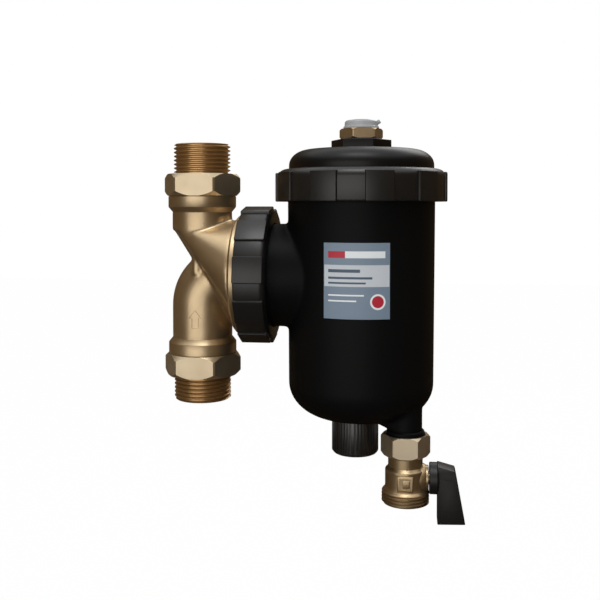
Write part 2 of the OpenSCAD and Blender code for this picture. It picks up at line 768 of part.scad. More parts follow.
module lid_ring() {
    r = lid_ring_d / 2;
    z0 = lid_ring_bottom_z;
    color(dark_grey) at_housing() difference() {
        union() {
            rotate_extrude() polygon(concat(
                [[0, z0], [r - 1, z0], [r, z0 + 1]],
                arc(r - lid_ring_round, lid_ring_top_z - lid_ring_round, lid_ring_round, 0, 90, 6),
                [[0, lid_ring_top_z]]));
            translate([0, 0, z0]) rotate([0, 0, lid_grip_turn - 90])
                grips(lid_ring_d, lid_grip_w, lid_ring_h - lid_grip_drop, lid_grips,
                      lid_ring_d - 8, lid_ring_d + 1.2);
        }
        translate([0, 0, z0 - 1])
            cylinder(d = lid_ring_bore_d, h = lid_flange_top_z + turn_gap - z0 + 1);
        translate([0, 0, z0]) cylinder(d = lid_ring_mouth_d, h = lid_ring_h + 1);
    }
}

// ---- Strainer -------------------------------------------------------------

module saddle_cut(d) {
    translate([0, 0, union_z]) rotate([0, -90, 0]) cylinder(d = d, h = strainer_d);
}

module strainer_frame() {
    color(dark_grey) at_housing() difference() {
        union() {
            translate([0, 0, strainer_top_z - strainer_ring_t])
                cylinder(d = strainer_d, h = strainer_ring_t);
            translate([0, 0, strainer_foot_z]) ring(strainer_d, mesh_d - 6, strainer_ring_t);
            for (i = [0:strainer_ribs - 1])
                rotate([0, 0, strainer_rib_spread * (2 * i / (strainer_ribs - 1) - 1)])
                    translate([mesh_inner_r - strainer_rib_t, -1, strainer_foot_z + 1])
                        cube([strainer_rib_t, 2, strainer_top_z - strainer_foot_z - 2]);
            intersection() {
                saddle_cut(saddle_d);
                translate([0, 0, union_z - saddle_d]) difference() {
                    cylinder(d = strainer_d, h = 2 * saddle_d);
                    translate([0, 0, -1]) cylinder(d = mesh_d - 6, h = 2 * saddle_d + 2);
                }
            }
        }
        saddle_cut(insert_bore_d);
    }
}

module strainer_mesh() {
    z0 = strainer_foot_z + strainer_ring_t;
    color(steel) at_housing() difference() {
        translate([0, 0, z0])
            ring(mesh_d, mesh_d - 2 * mesh_t, strainer_top_z - strainer_ring_t - z0);
        saddle_cut(saddle_d + 2 * seat_gap);
    }
}

// ---- Vent -----------------------------------------------------------------

module vent_body() {
    color(brass) at_housing() difference() {
        union() {
            translate([0, 0, lid_hex_top_z + vent_seal_t - vent_shank_l])
                cylinder(d = vent_shank_d, h = vent_shank_l);
            translate([0, 0, vent_hex_z]) rotate([0, 0, 51 + vent_turn])
                hexagon(vent_af, vent_hex_l, 0.8, vent_af / cos(30) - 0.3);
            translate([0, 0, vent_hex_z]) cylinder(d = vent_stub_d, h = vent_hex_l + vent_stub_l);
        }
        translate([0, 0, vent_hex_z - vent_shank_l - 1])
            cylinder(d = vent_bore_d, h = vent_shank_l + vent_hex_l + vent_stub_l + 2);
    }
}

module vent_seal() {
    color(rubber) at_housing(lid_hex_top_z)
        ring(vent_af - 1, vent_shank_d + 2 * seat_gap, vent_seal_t);
}

module vent_cap() {
    r = vent_cap_d / 2;
    color([0.72, 0.73, 0.75]) at_housing(vent_cap_z) union() {
        difference() {
            rotate_extrude() polygon([
                [0, 0], [r, 0], [r - 0.3, vent_cap_h - 1.6], [r - 1.4, vent_cap_h - 0.6],
                [r / 2, vent_cap_h], [0, vent_cap_h]]);
            translate([0, 0, -1])
                cylinder(d = vent_stub_d + 2 * turn_gap, h = vent_stub_l + 2 * turn_gap + 1);
        }
        translate([r - 2, 0, vent_cap_h - 3.2]) rotate([0, 60, 0]) cylinder(d = 2.6, h = 3);
    }
}

module vent_needle() {
    z1 = vent_cap_z + vent_stub_l + 2 * turn_gap;
    color(steel) at_housing(vent_hex_z) cylinder(d = vent_bore_d - 2 * turn_gap,
                                                 h = z1 - vent_hex_z);
}

// ---- Magnet ---------------------------------------------------------------

module magnet_pocket() {
    color(brass) at_magnet() difference() {
        union() {
            translate([0, 0, pocket_end_z]) cylinder(d = magnet_boss_d - 1, h = pocket_flange_t);
            translate([0, 0, pocket_end_z])
                cylinder(d = pocket_d, h = union_z + pocket_top - pocket_end_z);
        }
        translate([0, 0, pocket_end_z - 1])
            cylinder(d = pocket_d - 2 * pocket_wall, h = pocket_roof_z - pocket_end_z + 1);
    }
}

module pocket_o_ring() {
    color(rubber) at_magnet(cavity_floor_z - 1.2) torus(pocket_d + 2, 1.8);
}

module magnet_core() {
    color(steel) at_magnet() union() {
        translate([0, 0, core_z]) cylinder(d = core_d, h = core_top_z - core_z);
        translate([0, 0, core_z]) cylinder(d = magnet_d, h = magnet_stack_z - core_z);
    }
}

module magnet_ring(z, h) {
    top = min(z + h, core_top_z);
    at_magnet(z) ring(magnet_d, core_d + 2 * seat_gap, top - z);
}

module magnet_discs() {
    color("gray") for (i = [0:magnets - 1])
        magnet_ring(magnet_stack_z + i * magnet_step + pole_t, magnet_l);
}

module pole_pieces() {
    color(steel) for (i = [0:magnets]) magnet_ring(magnet_stack_z + i * magnet_step, pole_t);
}

module magnet_cap() {
    rib_w = 3.1416 * magnet_cap_d / cap_ribs / 2;
    color(black) at_magnet() difference() {
        union() {
            rotate_extrude() polygon([
                [0, magnet_cap_end_z], [magnet_cap_d / 2 - 1.2, magnet_cap_end_z],
                [magnet_cap_d / 2 - cap_rib_h, magnet_cap_end_z + 0.8],
                [magnet_cap_d / 2 - cap_rib_h, magnet_cap_top_z], [0, magnet_cap_top_z]]);
            intersection() {
                translate([0, 0, magnet_cap_end_z + 0.8])
                    cylinder(d = magnet_cap_d, h = magnet_cap_l - 1.4);
                for (i = [0:cap_ribs - 1]) rotate([0, 0, i * 360 / cap_ribs])
                    translate([magnet_cap_d / 2 - 2, -rib_w / 2, magnet_cap_end_z])
                        cube([2, rib_w, magnet_cap_l]);
            }
        }
        translate([0, 0, cap_floor_z])
            cylinder(d = magnet_cap_bore_d, h = magnet_cap_l);
    }
}

// ---- Drain ----------------------------------------------------------------

module drain_gasket() {
    color(rubber) at_drain(drain_gasket_z)
        ring(drain_neck_d - 1.2, drain_bore_d + 2, drain_gasket_t);
}

module drain_nut() {
    color(brass) at_drain(nut_end_z) difference() {
        hexagon(drain_nut_af, drain_nut_h, 1.2, drain_nut_af / cos(30) - 0.3);
        translate([0, 0, tail_flange_z - turn_gap - nut_end_z])
            cylinder(d = nut_bore_d, h = drain_nut_h);
        translate([0, 0, -1]) cylinder(d = nut_lip_d, h = drain_nut_h);
    }
}

module valve_shell() {
    r = valve_d / 2;
    rotate_extrude() polygon([
        [0, valve_end_z], [drain_thread_d / 2 - 1.3, valve_end_z],
        [drain_thread_d / 2 - 1.3, valve_end_z + drain_thread_l],
        [r - 0.4, shoulder_z], [r, shoulder_z + 1],
        [r, waist_end_z - 1.6], [r - 0.4, waist_end_z - 0.6],
        [valve_waist_d / 2, waist_end_z + 0.6], [valve_waist_d / 2, valve_top_z],
        [tail_d / 2, valve_top_z], [tail_d / 2, tail_flange_z],
        [nut_bore_d / 2 - turn_gap, tail_flange_z],
        [nut_bore_d / 2 - turn_gap, drain_gasket_z], [0, drain_gasket_z]]);
    translate([0, 0, valve_end_z + drain_thread_l]) mirror([0, 0, 1])
        ridged_rod(drain_thread_d / 2, drain_thread_depth, drain_thread_pitch, drain_thread_l);
}

module along_stem(x = 0) { translate([x, 0, ball_z]) rotate([0, 90, 0]) children(); }

module drain_valve_body() {
    color(brass) at_drain() difference() {
        union() {
            valve_shell();
            along_stem(valve_d / 2 - 3)
                cylinder(d1 = stem_boss_d + 2, d2 = stem_boss_d, h = stem_boss_reach - valve_d / 2 + 3);
        }
        translate([0, 0, valve_end_z - 1])
            cylinder(d = ball_cavity_d + 2 * seat_gap, h = ball_z + seat_reach - valve_end_z + 1);
        translate([0, 0, ball_z]) cylinder(d = ball_bore_d, h = drain_gasket_z - ball_z + 1);
        along_stem() cylinder(d = stem_hole_d, h = stem_boss_reach + 1);
        along_stem(stem_boss_reach - 3.2) cylinder(d = stem_d + 2.8, h = 2.2);
    }
}

module valve_insert() {
    color(brass) at_drain(valve_end_z + 0.5)
        ring(ball_cavity_d, ball_bore_d, insert_top_z - valve_end_z - 0.5);
}

module ball_seats() {
    color("white") at_drain(ball_z) difference() {
        for (side = [0, 1]) mirror([0, 0, side])
            translate([0, 0, ball_d / 2 - 2.2]) ring(ball_cavity_d, ball_bore_d, 2.55);
        sphere(d = ball_d + 2 * seat_gap + 0.1);
    }
}

module drain_ball() {
    color(steel) at_drain() difference() {
        translate([0, 0, ball_z]) sphere(d = ball_d);
        translate([0, 0, ball_z - ball_d]) cylinder(d = ball_bore_d, h = 2 * ball_d);
        translate([ball_d / 2 - 2, -tang_w / 2 - seat_gap, ball_z - ball_d / 2])
            cube([3, tang_w + 2 * seat_gap, ball_d]);
    }
}

module valve_stem() {
    color(brass) at_drain() difference() {
        union() {
            along_stem(ball_d / 2 + 0.1) cylinder(d = stem_d, h = stem_end_x - ball_d / 2 - 0.1);
            translate([ball_d / 2 - 1.8, -tang_w / 2, ball_z - stem_d / 2 + 0.5])
                cube([2.2, tang_w, stem_d - 1]);
        }
        along_stem(stem_boss_reach - 3.2) ring(stem_d + 1, stem_d - 1, 2.2);
        along_stem(stem_end_x - 6) cylinder(d = 3, h = 7);
    }
}

module stem_o_ring() {
    color(rubber) at_drain() along_stem(stem_boss_reach - 2.1)
        torus(stem_d + 0.85, 1.7);
}

module drain_lever() {
    tip_z = ball_z - lever_reach;
    top_z = ball_z + lever_top;
    color(black) at_drain() difference() {
        union() {
            along_stem(hub_x) cylinder(d = hub_d, h = hub_w + 1);
            translate([0, blade_w / 2, 0]) rotate([90, 0, 0]) linear_extrude(blade_w)
                polygon([
                    [blade_x, tip_z], [blade_x + blade_tip_t, tip_z + 0.6],
                    [blade_x + blade_top_t, top_z - 2.4], [blade_x + blade_top_t - 0.8, top_z - 1.6],
                    [blade_x, top_z - 0.6]]);
        }
        along_stem(hub_x - 1) cylinder(d = stem_d + 2 * seat_gap, h = stem_end_x - hub_x + 1);
        along_stem(stem_end_x - 0.1) cylinder(d = 5.4, h = 30);
    }
}

module lever_screw() {
    color(steel) at_drain() union() {
        along_stem(stem_end_x - 5.5) cylinder(d = 2.9, h = 6);
        along_stem(stem_end_x + 0.05) cylinder(d = 5, h = 2.5);
    }
}

diverter_body();
upper_nipple();
lower_nipple();
upper_nipple_washer();
lower_nipple_washer();
spout_o_ring();
union_ring();
union_gasket();
split_ring();
housing();
flow_insert();
label();
lid();
lid_o_ring();
lid_ring();
strainer_frame();
strainer_mesh();
vent_body();
vent_seal();
vent_cap();
vent_needle();
magnet_pocket();
pocket_o_ring();
magnet_core();
magnet_discs();
pole_pieces();
magnet_cap();
drain_gasket();
drain_nut();
drain_valve_body();
valve_insert();
ball_seats();
drain_ball();
valve_stem();
stem_o_ring();
drain_lever();
lever_screw();
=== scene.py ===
"""Looks of a magnetic system filter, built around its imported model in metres."""

import logging
import math
from dataclasses import dataclass
from enum import Enum
from typing import Sequence, Union

import bpy
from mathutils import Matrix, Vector


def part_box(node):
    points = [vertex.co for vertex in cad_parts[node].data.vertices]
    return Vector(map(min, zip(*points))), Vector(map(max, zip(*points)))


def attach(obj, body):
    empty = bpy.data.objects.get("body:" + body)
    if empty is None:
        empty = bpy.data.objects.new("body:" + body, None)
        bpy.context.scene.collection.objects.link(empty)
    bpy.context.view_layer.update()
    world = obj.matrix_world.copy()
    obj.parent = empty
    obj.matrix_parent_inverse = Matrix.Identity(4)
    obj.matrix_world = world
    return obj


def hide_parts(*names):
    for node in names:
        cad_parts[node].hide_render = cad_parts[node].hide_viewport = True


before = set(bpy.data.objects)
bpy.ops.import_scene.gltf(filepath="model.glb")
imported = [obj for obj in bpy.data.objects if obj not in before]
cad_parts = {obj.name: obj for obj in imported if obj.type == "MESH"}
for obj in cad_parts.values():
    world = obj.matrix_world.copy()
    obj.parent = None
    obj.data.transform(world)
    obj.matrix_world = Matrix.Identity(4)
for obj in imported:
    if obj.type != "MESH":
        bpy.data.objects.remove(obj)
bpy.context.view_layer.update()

LOG = logging.getLogger("filter")
MM = 0.001
TAU = 2 * math.pi
Point = tuple[float, float, float]
Colour = tuple[float, float, float]
Profile = list[tuple[float, float]]


# ---- Shader graph -----------------------------------------------------------

class Wire:
    """A node's output socket that Python's operators work on."""

    def __init__(self, graph: "Graph", socket: bpy.types.NodeSocket) -> None:
        """Keeps the socket and the graph it belongs to."""
        self.graph = graph
        self.socket = socket

    def _math(self, operation: str, first: "Value", second: "Value", clamp: bool = False) -> "Wire":
        """Adds a Math node.

        Args:
            operation: Name of the Math node's operation.
            first: First operand.
            second: Second operand.
            clamp: Whether the result is kept between 0 and 1.

        Returns:
            The node's output.
        """
        settings = {"operation": operation, "use_clamp": clamp}
        return self.graph.node("ShaderNodeMath", settings, {0: first, 1: second})

    def __add__(self, other: "Value") -> "Wire":
        """Sum."""
        return self._math("ADD", self, other)

    __radd__ = __add__

    def __sub__(self, other: "Value") -> "Wire":
        """Difference."""
        return self._math("SUBTRACT", self, other)

    def __rsub__(self, other: "Value") -> "Wire":
        """Difference the other way round."""
        return self._math("SUBTRACT", other, self)

    def __mul__(self, other: "Value") -> "Wire":
        """Product."""
        return self._math("MULTIPLY", self, other)

    __rmul__ = __mul__

    def __truediv__(self, other: "Value") -> "Wire":
        """Quotient."""
        return self._math("DIVIDE", self, other)

    def __gt__(self, other: "Value") -> "Wire":
        """One where this is greater than the other value, and zero elsewhere."""
        return self._math("GREATER_THAN", self, other)

    def __lt__(self, other: "Value") -> "Wire":
        """One where this is less than the other value, and zero elsewhere."""
        return self._math("LESS_THAN", self, other)

    def clamped(self) -> "Wire":
        """This value kept between 0 and 1."""
        return self._math("ADD", self, 0.0, clamp=True)

    def angle(self, other: "Value") -> "Wire":
        """Angle whose tangent is this value over the other."""
        return self._math("ARCTAN2", self, other)

    def fraction(self) -> "Wire":
        """What is over the whole number below this value."""
        return self._math("FRACT", self, 0.0)


Value = Union[Wire, float, Sequence[float]]


class Graph:
    """The node tree of one material or world."""

    def __init__(self, tree: bpy.types.NodeTree) -> None:
        """Empties the tree and keeps it."""
        tree.nodes.clear()
        self.tree = tree

    def node(self, kind: str, settings: dict, inputs: dict, output: Union[int, str] = 0) -> Wire:
        """Adds a node.

        Args:
            kind: The node's type.
            settings: The node's own properties, set before its sockets.
            inputs: Values or links by socket name or number.
            output: Name or number of the output that is returned.

        Returns:
            The chosen output.
        """
        made = self.tree.nodes.new(kind)
        for name, value in settings.items():
            setattr(made, name, value)
        for name, value in inputs.items():
            if isinstance(value, Wire):
                self.tree.links.new(value.socket, made.inputs[name])
            else:
                made.inputs[name].default_value = value
        return Wire(self, made.outputs[output]) if made.outputs else Wire(self, None)

    def place(self) -> Wire:
        """Object coordinates, in metres."""
        return self.node("ShaderNodeTexCoord", {}, {}, "Object")

    def axes(self) -> list[Wire]:
        """Object coordinates along X, Y and Z."""
        return [self.node("ShaderNodeSeparateXYZ", {}, {0: self.place()}, name) for name in "XYZ"]

    def scaled(self, by: Sequence[float]) -> Wire:
        """Object coordinates multiplied along each axis."""
        return self.node("ShaderNodeMapping", {}, {"Vector": self.place(), "Scale": by})

    def noise(self, scale: float, detail: float = 2.0, where: Union[Wire, None] = None) -> Wire:
        """Cloudy values between 0 and 1.

        Args:
            scale: Number of clouds in a metre.
            detail: Number of finer layers.
            where: Coordinates, or None for Object coordinates.

        Returns:
            The noise's factor.
        """
        where = where or self.place()
        return self.node("ShaderNodeTexNoise", {}, {"Vector": where, "Scale": scale, "Detail": detail})

    def between(self, value: Wire, low: float, high: float) -> Wire:
        """Spreads a value from 0..1 over another range."""
        return value * (high - low) + low

    def mix(self, share: Value, first: Value, second: Value) -> Wire:
        """Mixes two colours.

        Args:
            share: How much of the second colour shows.
            first: First colour.
            second: Second colour.

        Returns:
            The mixed colour.
        """
        pair = [(*c, 1.0) if not isinstance(c, Wire) else c for c in (first, second)]
        return self.node("ShaderNodeMix", {"data_type": "RGBA"},
                         {0: share, 6: pair[0], 7: pair[1]}, 2)

    def bump(self, height: Wire, distance: float, strength: float = 1.0) -> Wire:
        """Normal that follows a height.

        Args:
            height: Height between 0 and 1.
            distance: Real height of the relief in metres.
            strength: How much of it shows.

        Returns:
            The changed normal.
        """
        return self.node("ShaderNodeBump", {}, {"Height": height, "Distance": distance,
                                                "Strength": strength})

    def surface(self, shader: Wire) -> None:
        """Ends the graph in a material's surface."""
        self.node("ShaderNodeOutputMaterial", {}, {"Surface": shader})


@dataclass(frozen=True)
class Finish:
    """What every finish has: a name and the sockets that stay the same all over."""

    name: str
    colour: Colour = (0.5, 0.5, 0.5)
    roughness: float = 0.4
    metallic: float = 0.0
    specular: float = 0.5

    def dress(self, graph: Graph) -> dict:
        """Sockets that vary over the surface.

        Args:
            graph: The material's graph.

        Returns:
            Values or links by the name of the shader's socket.
        """
        return {}

    def make(self) -> bpy.types.Material:
        """Builds the material once, and returns it again when it is asked for again."""
        known = bpy.data.materials.get(self.name)
        if known:
            return known
        material = bpy.data.materials.new(self.name)
        material.use_nodes = True
        graph = Graph(material.node_tree)
        sockets = {"Base Color": (*self.colour, 1.0), "Roughness": self.roughness,
                   "Metallic": self.metallic, "Specular IOR Level": self.specular}
        sockets.update(self.dress(graph))
        graph.surface(graph.node("ShaderNodeBsdfPrincipled", {}, sockets))
        return material


@dataclass(frozen=True)
class CastBrass(Finish):
    """Satin brass, as cast and tumbled: cloudy colour, fine grain and a few softer spots."""

    shade: Colour = (0.36, 0.22, 0.09)
    grain: float = 900.0
    relief: float = 0.00004

    def dress(self, graph: Graph) -> dict:
        """Clouds of a browner shade, uneven polish and the grain of the casting."""
        cloud = graph.noise(45.0, 3.0)
        grain = graph.noise(self.grain, 4.0)
        polish = graph.noise(140.0, 2.0)
        return {
            "Base Color": graph.mix(graph.between(cloud, 0.0, 0.35), self.colour, self.shade),
            "Roughness": graph.between(polish, self.roughness - 0.05, self.roughness + 0.07),
            "Normal": graph.bump(grain, self.relief, 0.5),
        }


@dataclass(frozen=True)
class TurnedBrass(CastBrass):
    """Machined brass: fine rings round the piece's axis over the cast colour."""

    pitch: float = 0.00022
    centre: Point = (0.0, 0.0, 0.0)

    def dress(self, graph: Graph) -> dict:
        """Tool marks that run round the vertical axis."""
        sockets = CastBrass.dress(self, graph)
        marks = graph.noise(1.0, 1.0, graph.scaled((60.0, 60.0, 1.0 / self.pitch)))
        sockets["Normal"] = graph.bump(marks, 0.00002, 0.35)
        return sockets


@dataclass(frozen=True)
class MouldedNylon(Finish):
    """Glass-filled nylon: nearly black, satin, with a faint flow and a fine moulded grain."""

    bloom: Colour = (0.03, 0.03, 0.032)
    grain: float = 2600.0

    def dress(self, graph: Graph) -> dict:
        """Faint bloom, uneven sheen and moulded grain."""
        flow = graph.noise(22.0, 3.0, graph.scaled((1.0, 1.0, 0.35)))
        grain = graph.noise(self.grain, 2.0)
        return {
            "Base Color": graph.mix(graph.between(flow, 0.0, 0.5), self.colour, self.bloom),
            "Roughness": graph.between(flow, self.roughness - 0.04, self.roughness + 0.05),
            "Normal": graph.bump(grain, 0.00002, 0.35),
        }


@dataclass(frozen=True)
class Rubber(Finish):
    """Matt rubber of the seals."""

    def dress(self, graph: Graph) -> dict:
        """Dusty clouds and a dull grain."""
        dust = graph.noise(400.0, 3.0)
        return {
            "Base Color": graph.mix(dust * 0.3, self.colour, (0.06, 0.06, 0.06)),
            "Normal": graph.bump(dust, 0.00003, 0.4),
        }


@dataclass(frozen=True)
class DrawnSteel(Finish):
    """Bright drawn steel with streaks along the vertical."""

    def dress(self, graph: Graph) -> dict:
        """Streaks in polish and relief."""
        streak = graph.noise(1.0, 2.0, graph.scaled((2600.0, 2600.0, 40.0)))
        return {
            "Roughness": graph.between(streak, self.roughness - 0.08, self.roughness + 0.1),
            "Normal": graph.bump(streak, 0.00001, 0.3),
        }


@dataclass(frozen=True)
class NippleBrass(TurnedBrass):
    """Machined brass whose thread is more golden than its hexagon."""

    gold: Colour = (0.58, 0.385, 0.18)
    reach: float = 0.0174

    def dress(self, graph: Graph) -> dict:
        """Golden within the thread's radius, beige outside it."""
        sockets = TurnedBrass.dress(self, graph)
        x, y, _ = graph.axes()
        inside = (x * x + y * y) < self.reach * self.reach
        sockets["Base Color"] = graph.mix(inside, sockets["Base Color"], self.gold)
        return sockets


@dataclass(frozen=True)
class CapPlastic(Finish):
    """Milky grey plastic of the vent's cap, with cloudy depth."""

    def dress(self, graph: Graph) -> dict:
        """Cloudy grey."""
        cloud = graph.noise(260.0, 2.0)
        return {
            "Base Color": graph.mix(cloud * 0.6, self.colour, (0.30, 0.31, 0.32)),
            "Normal": graph.bump(cloud, 0.00006, 0.3),
        }


@dataclass(frozen=True)
class Print(Finish):
    """Printed film: a slate ground, a pale field with ruled lines, a bar and a disc."""

    pale: Colour = (0.50, 0.53, 0.56)
    white: Colour = (0.72, 0.74, 0.75)
    red: Colour = (0.42, 0.012, 0.028)
    dark: Colour = (0.06, 0.09, 0.13)
    centre_x: float = 0.0937
    centre_z: float = 0.074
    radius: float = 0.0424
    seal_at: tuple[float, float] = (0.0115, -0.0110)

    def dress(self, graph: Graph) -> dict:
        """Paints the film's fields over its ground."""
        across, up = self.over_and_up(graph)
        ground = graph.mix((up * 8.0 + 0.4).clamped(), self.colour, (0.185, 0.24, 0.30))
        boxes = [((-0.0178, 0.0178), (-0.0030, 0.0085), self.pale),
                 ((-0.0155, 0.0020), (0.0045, 0.0062), self.dark),
                 ((-0.0155, 0.0085), (0.0010, 0.0022), self.dark),
                 ((-0.0155, 0.0050), (-0.0016, -0.0006), self.dark),
                 ((-0.0155, 0.0155), (0.0122, 0.0158), self.white),
                 ((-0.0155, -0.0060), (0.0122, 0.0158), self.red),
                 ((-0.0155, 0.0040), (-0.0080, -0.0072), self.white),
                 ((-0.0155, 0.0000), (-0.0110, -0.0102), self.white)]
        layers = [(self.box(across, up, wide, high), shade) for wide, high, shade in boxes]
        layers += [(self.disc(across, up, self.seal_at, radius), shade)
                   for radius, shade in ((0.0042, self.white), (0.0032, self.red))]
        colour = ground
        for mask, shade in layers:
            colour = graph.mix(mask, colour, shade)
        return {"Base Color": colour}

    def over_and_up(self, graph: Graph) -> tuple[Wire, Wire]:
        """Distance along the film's width and height from its middle."""
        x, y, z = graph.axes()
        return (x - self.centre_x).angle(y * -1.0) * self.radius, z - self.centre_z

    @staticmethod
    def box(across: Wire, up: Wire, wide: tuple[float, float], high: tuple[float, float]) -> Wire:
        """One inside a rectangle of the film."""
        return (across > wide[0]) * (across < wide[1]) * (up > high[0]) * (up < high[1])

    @staticmethod
    def disc(across: Wire, up: Wire, centre: tuple[float, float], radius: float) -> Wire:
        """One inside a disc of the film."""
        over, above = across - centre[0], up - centre[1]
        return (over * over + above * above) < radius * radius


@dataclass(frozen=True)
class PunchedSteel(DrawnSteel):
    """Steel sheet with rows of punched holes."""

    pitch: float = 0.0016
    # Radius of a hole as a share of the pitch
    hole: float = 0.3
    centre_x: float = 0.0937
    radius: float = 0.026

    def dress(self, graph: Graph) -> dict:
        """Holes in a grid round the axis, painted near black without metal: painted shade of the dark
        inside seen through them.
        """
        sockets = DrawnSteel.dress(self, graph)
        x, y, z = graph.axes()
        around = y.angle(x - self.centre_x) * (self.radius / self.pitch)
        over, above = around.fraction() - 0.5, (z / self.pitch).fraction() - 0.5
        hole = (over * over + above * above) < self.hole * self.hole
        # Painted shade: near black where the holes are, for the dark inside seen through them
        sockets["Base Color"] = graph.mix(hole, self.colour, (0.01, 0.01, 0.01))
        sockets["Metallic"] = 1.0 - hole
        return sockets


class Stock(Enum):
    """The finishes of the filter's pieces."""

    CASTING = CastBrass("cast_brass", (0.66, 0.52, 0.33), 0.37, 0.96)
    NIPPLE = NippleBrass("nipple_brass", (0.64, 0.54, 0.38), 0.34, 0.92)
    NUT = TurnedBrass("nut_brass", (0.74, 0.635, 0.47), 0.32, 0.92)
    VALVE = CastBrass("valve_brass", (0.56, 0.43, 0.26), 0.37, 0.96)
    VENT = TurnedBrass("vent_brass", (0.55, 0.43, 0.27), 0.3, 0.85)
    HOUSING = MouldedNylon("housing_nylon", (0.0025, 0.0025, 0.0026), 0.48, 0.0, 0.1,
                           bloom=(0.004, 0.004, 0.0042))
    LID = MouldedNylon("lid_nylon", (0.0025, 0.0025, 0.0026), 0.38, 0.0, 0.3,
                       bloom=(0.004, 0.004, 0.0042))
    RING = MouldedNylon("grip_nylon", (0.005, 0.0048, 0.0048), 0.36, 0.0, 0.6,
                        bloom=(0.009, 0.0085, 0.0085))
    LEVER = MouldedNylon("lever_nylon", (0.005, 0.0048, 0.005), 0.42, 0.0, 0.5,
                         bloom=(0.008, 0.008, 0.008))
    # A lighter, glossier copy of the housing's black nylon for the magnet cap: painted highlight that
    # brightens it
    KNOB = MouldedNylon("knob_nylon_brightened", (0.008, 0.008, 0.008), 0.3, 0.0, 0.9,
                        bloom=(0.012, 0.012, 0.012))
    CAP = CapPlastic("cap_plastic", (0.45, 0.46, 0.47), 0.32, 0.0, 0.5)
    LABEL = Print("label_film", (0.155, 0.205, 0.265), 0.4, 0.0, 0.4)
    RUBBER = Rubber("seal_rubber", (0.015, 0.015, 0.015), 0.7)
    STEEL = DrawnSteel("drawn_steel", (0.58, 0.58, 0.59), 0.3, 1.0)
    MESH = PunchedSteel("punched_steel", (0.58, 0.58, 0.59), 0.35, 1.0)
    MAGNET = DrawnSteel("nickel_plate", (0.32, 0.32, 0.34), 0.25, 1.0)
    SEAT = Rubber("seat_plastic", (0.8, 0.8, 0.78), 0.35)

    def make(self) -> bpy.types.Material:
        """The finish's material."""
        return self.value.make()


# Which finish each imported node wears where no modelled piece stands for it.
NODE_STOCK = {
    Stock.CASTING: ["diverter_body"],
    Stock.VALVE: ["drain_valve_body"],
    Stock.NUT: ["drain_nut", "valve_insert", "valve_stem", "magnet_pocket"],
    Stock.VENT: ["vent_body", "vent_needle"],
    Stock.NIPPLE: ["upper_nipple", "lower_nipple"],
    Stock.HOUSING: ["housing", "flow_insert", "strainer_frame"],
    Stock.LID: ["lid"],
    Stock.LEVER: ["drain_lever"],
    Stock.RING: ["union_ring", "lid_ring", "magnet_cap"],
    Stock.CAP: ["vent_cap"],
    Stock.LABEL: ["label"],
    Stock.RUBBER: ["upper_nipple_washer", "lower_nipple_washer", "spout_o_ring", "union_gasket",
                   "lid_o_ring", "vent_seal", "pocket_o_ring", "drain_gasket", "stem_o_ring"],
    Stock.STEEL: ["split_ring", "magnet_core", "pole_pieces", "drain_ball", "lever_screw"],
    Stock.MESH: ["strainer_mesh"],
    Stock.MAGNET: ["magnet_discs"],
    Stock.SEAT: ["ball_seats"],
}


# ---- Studio -----------------------------------------------------------------

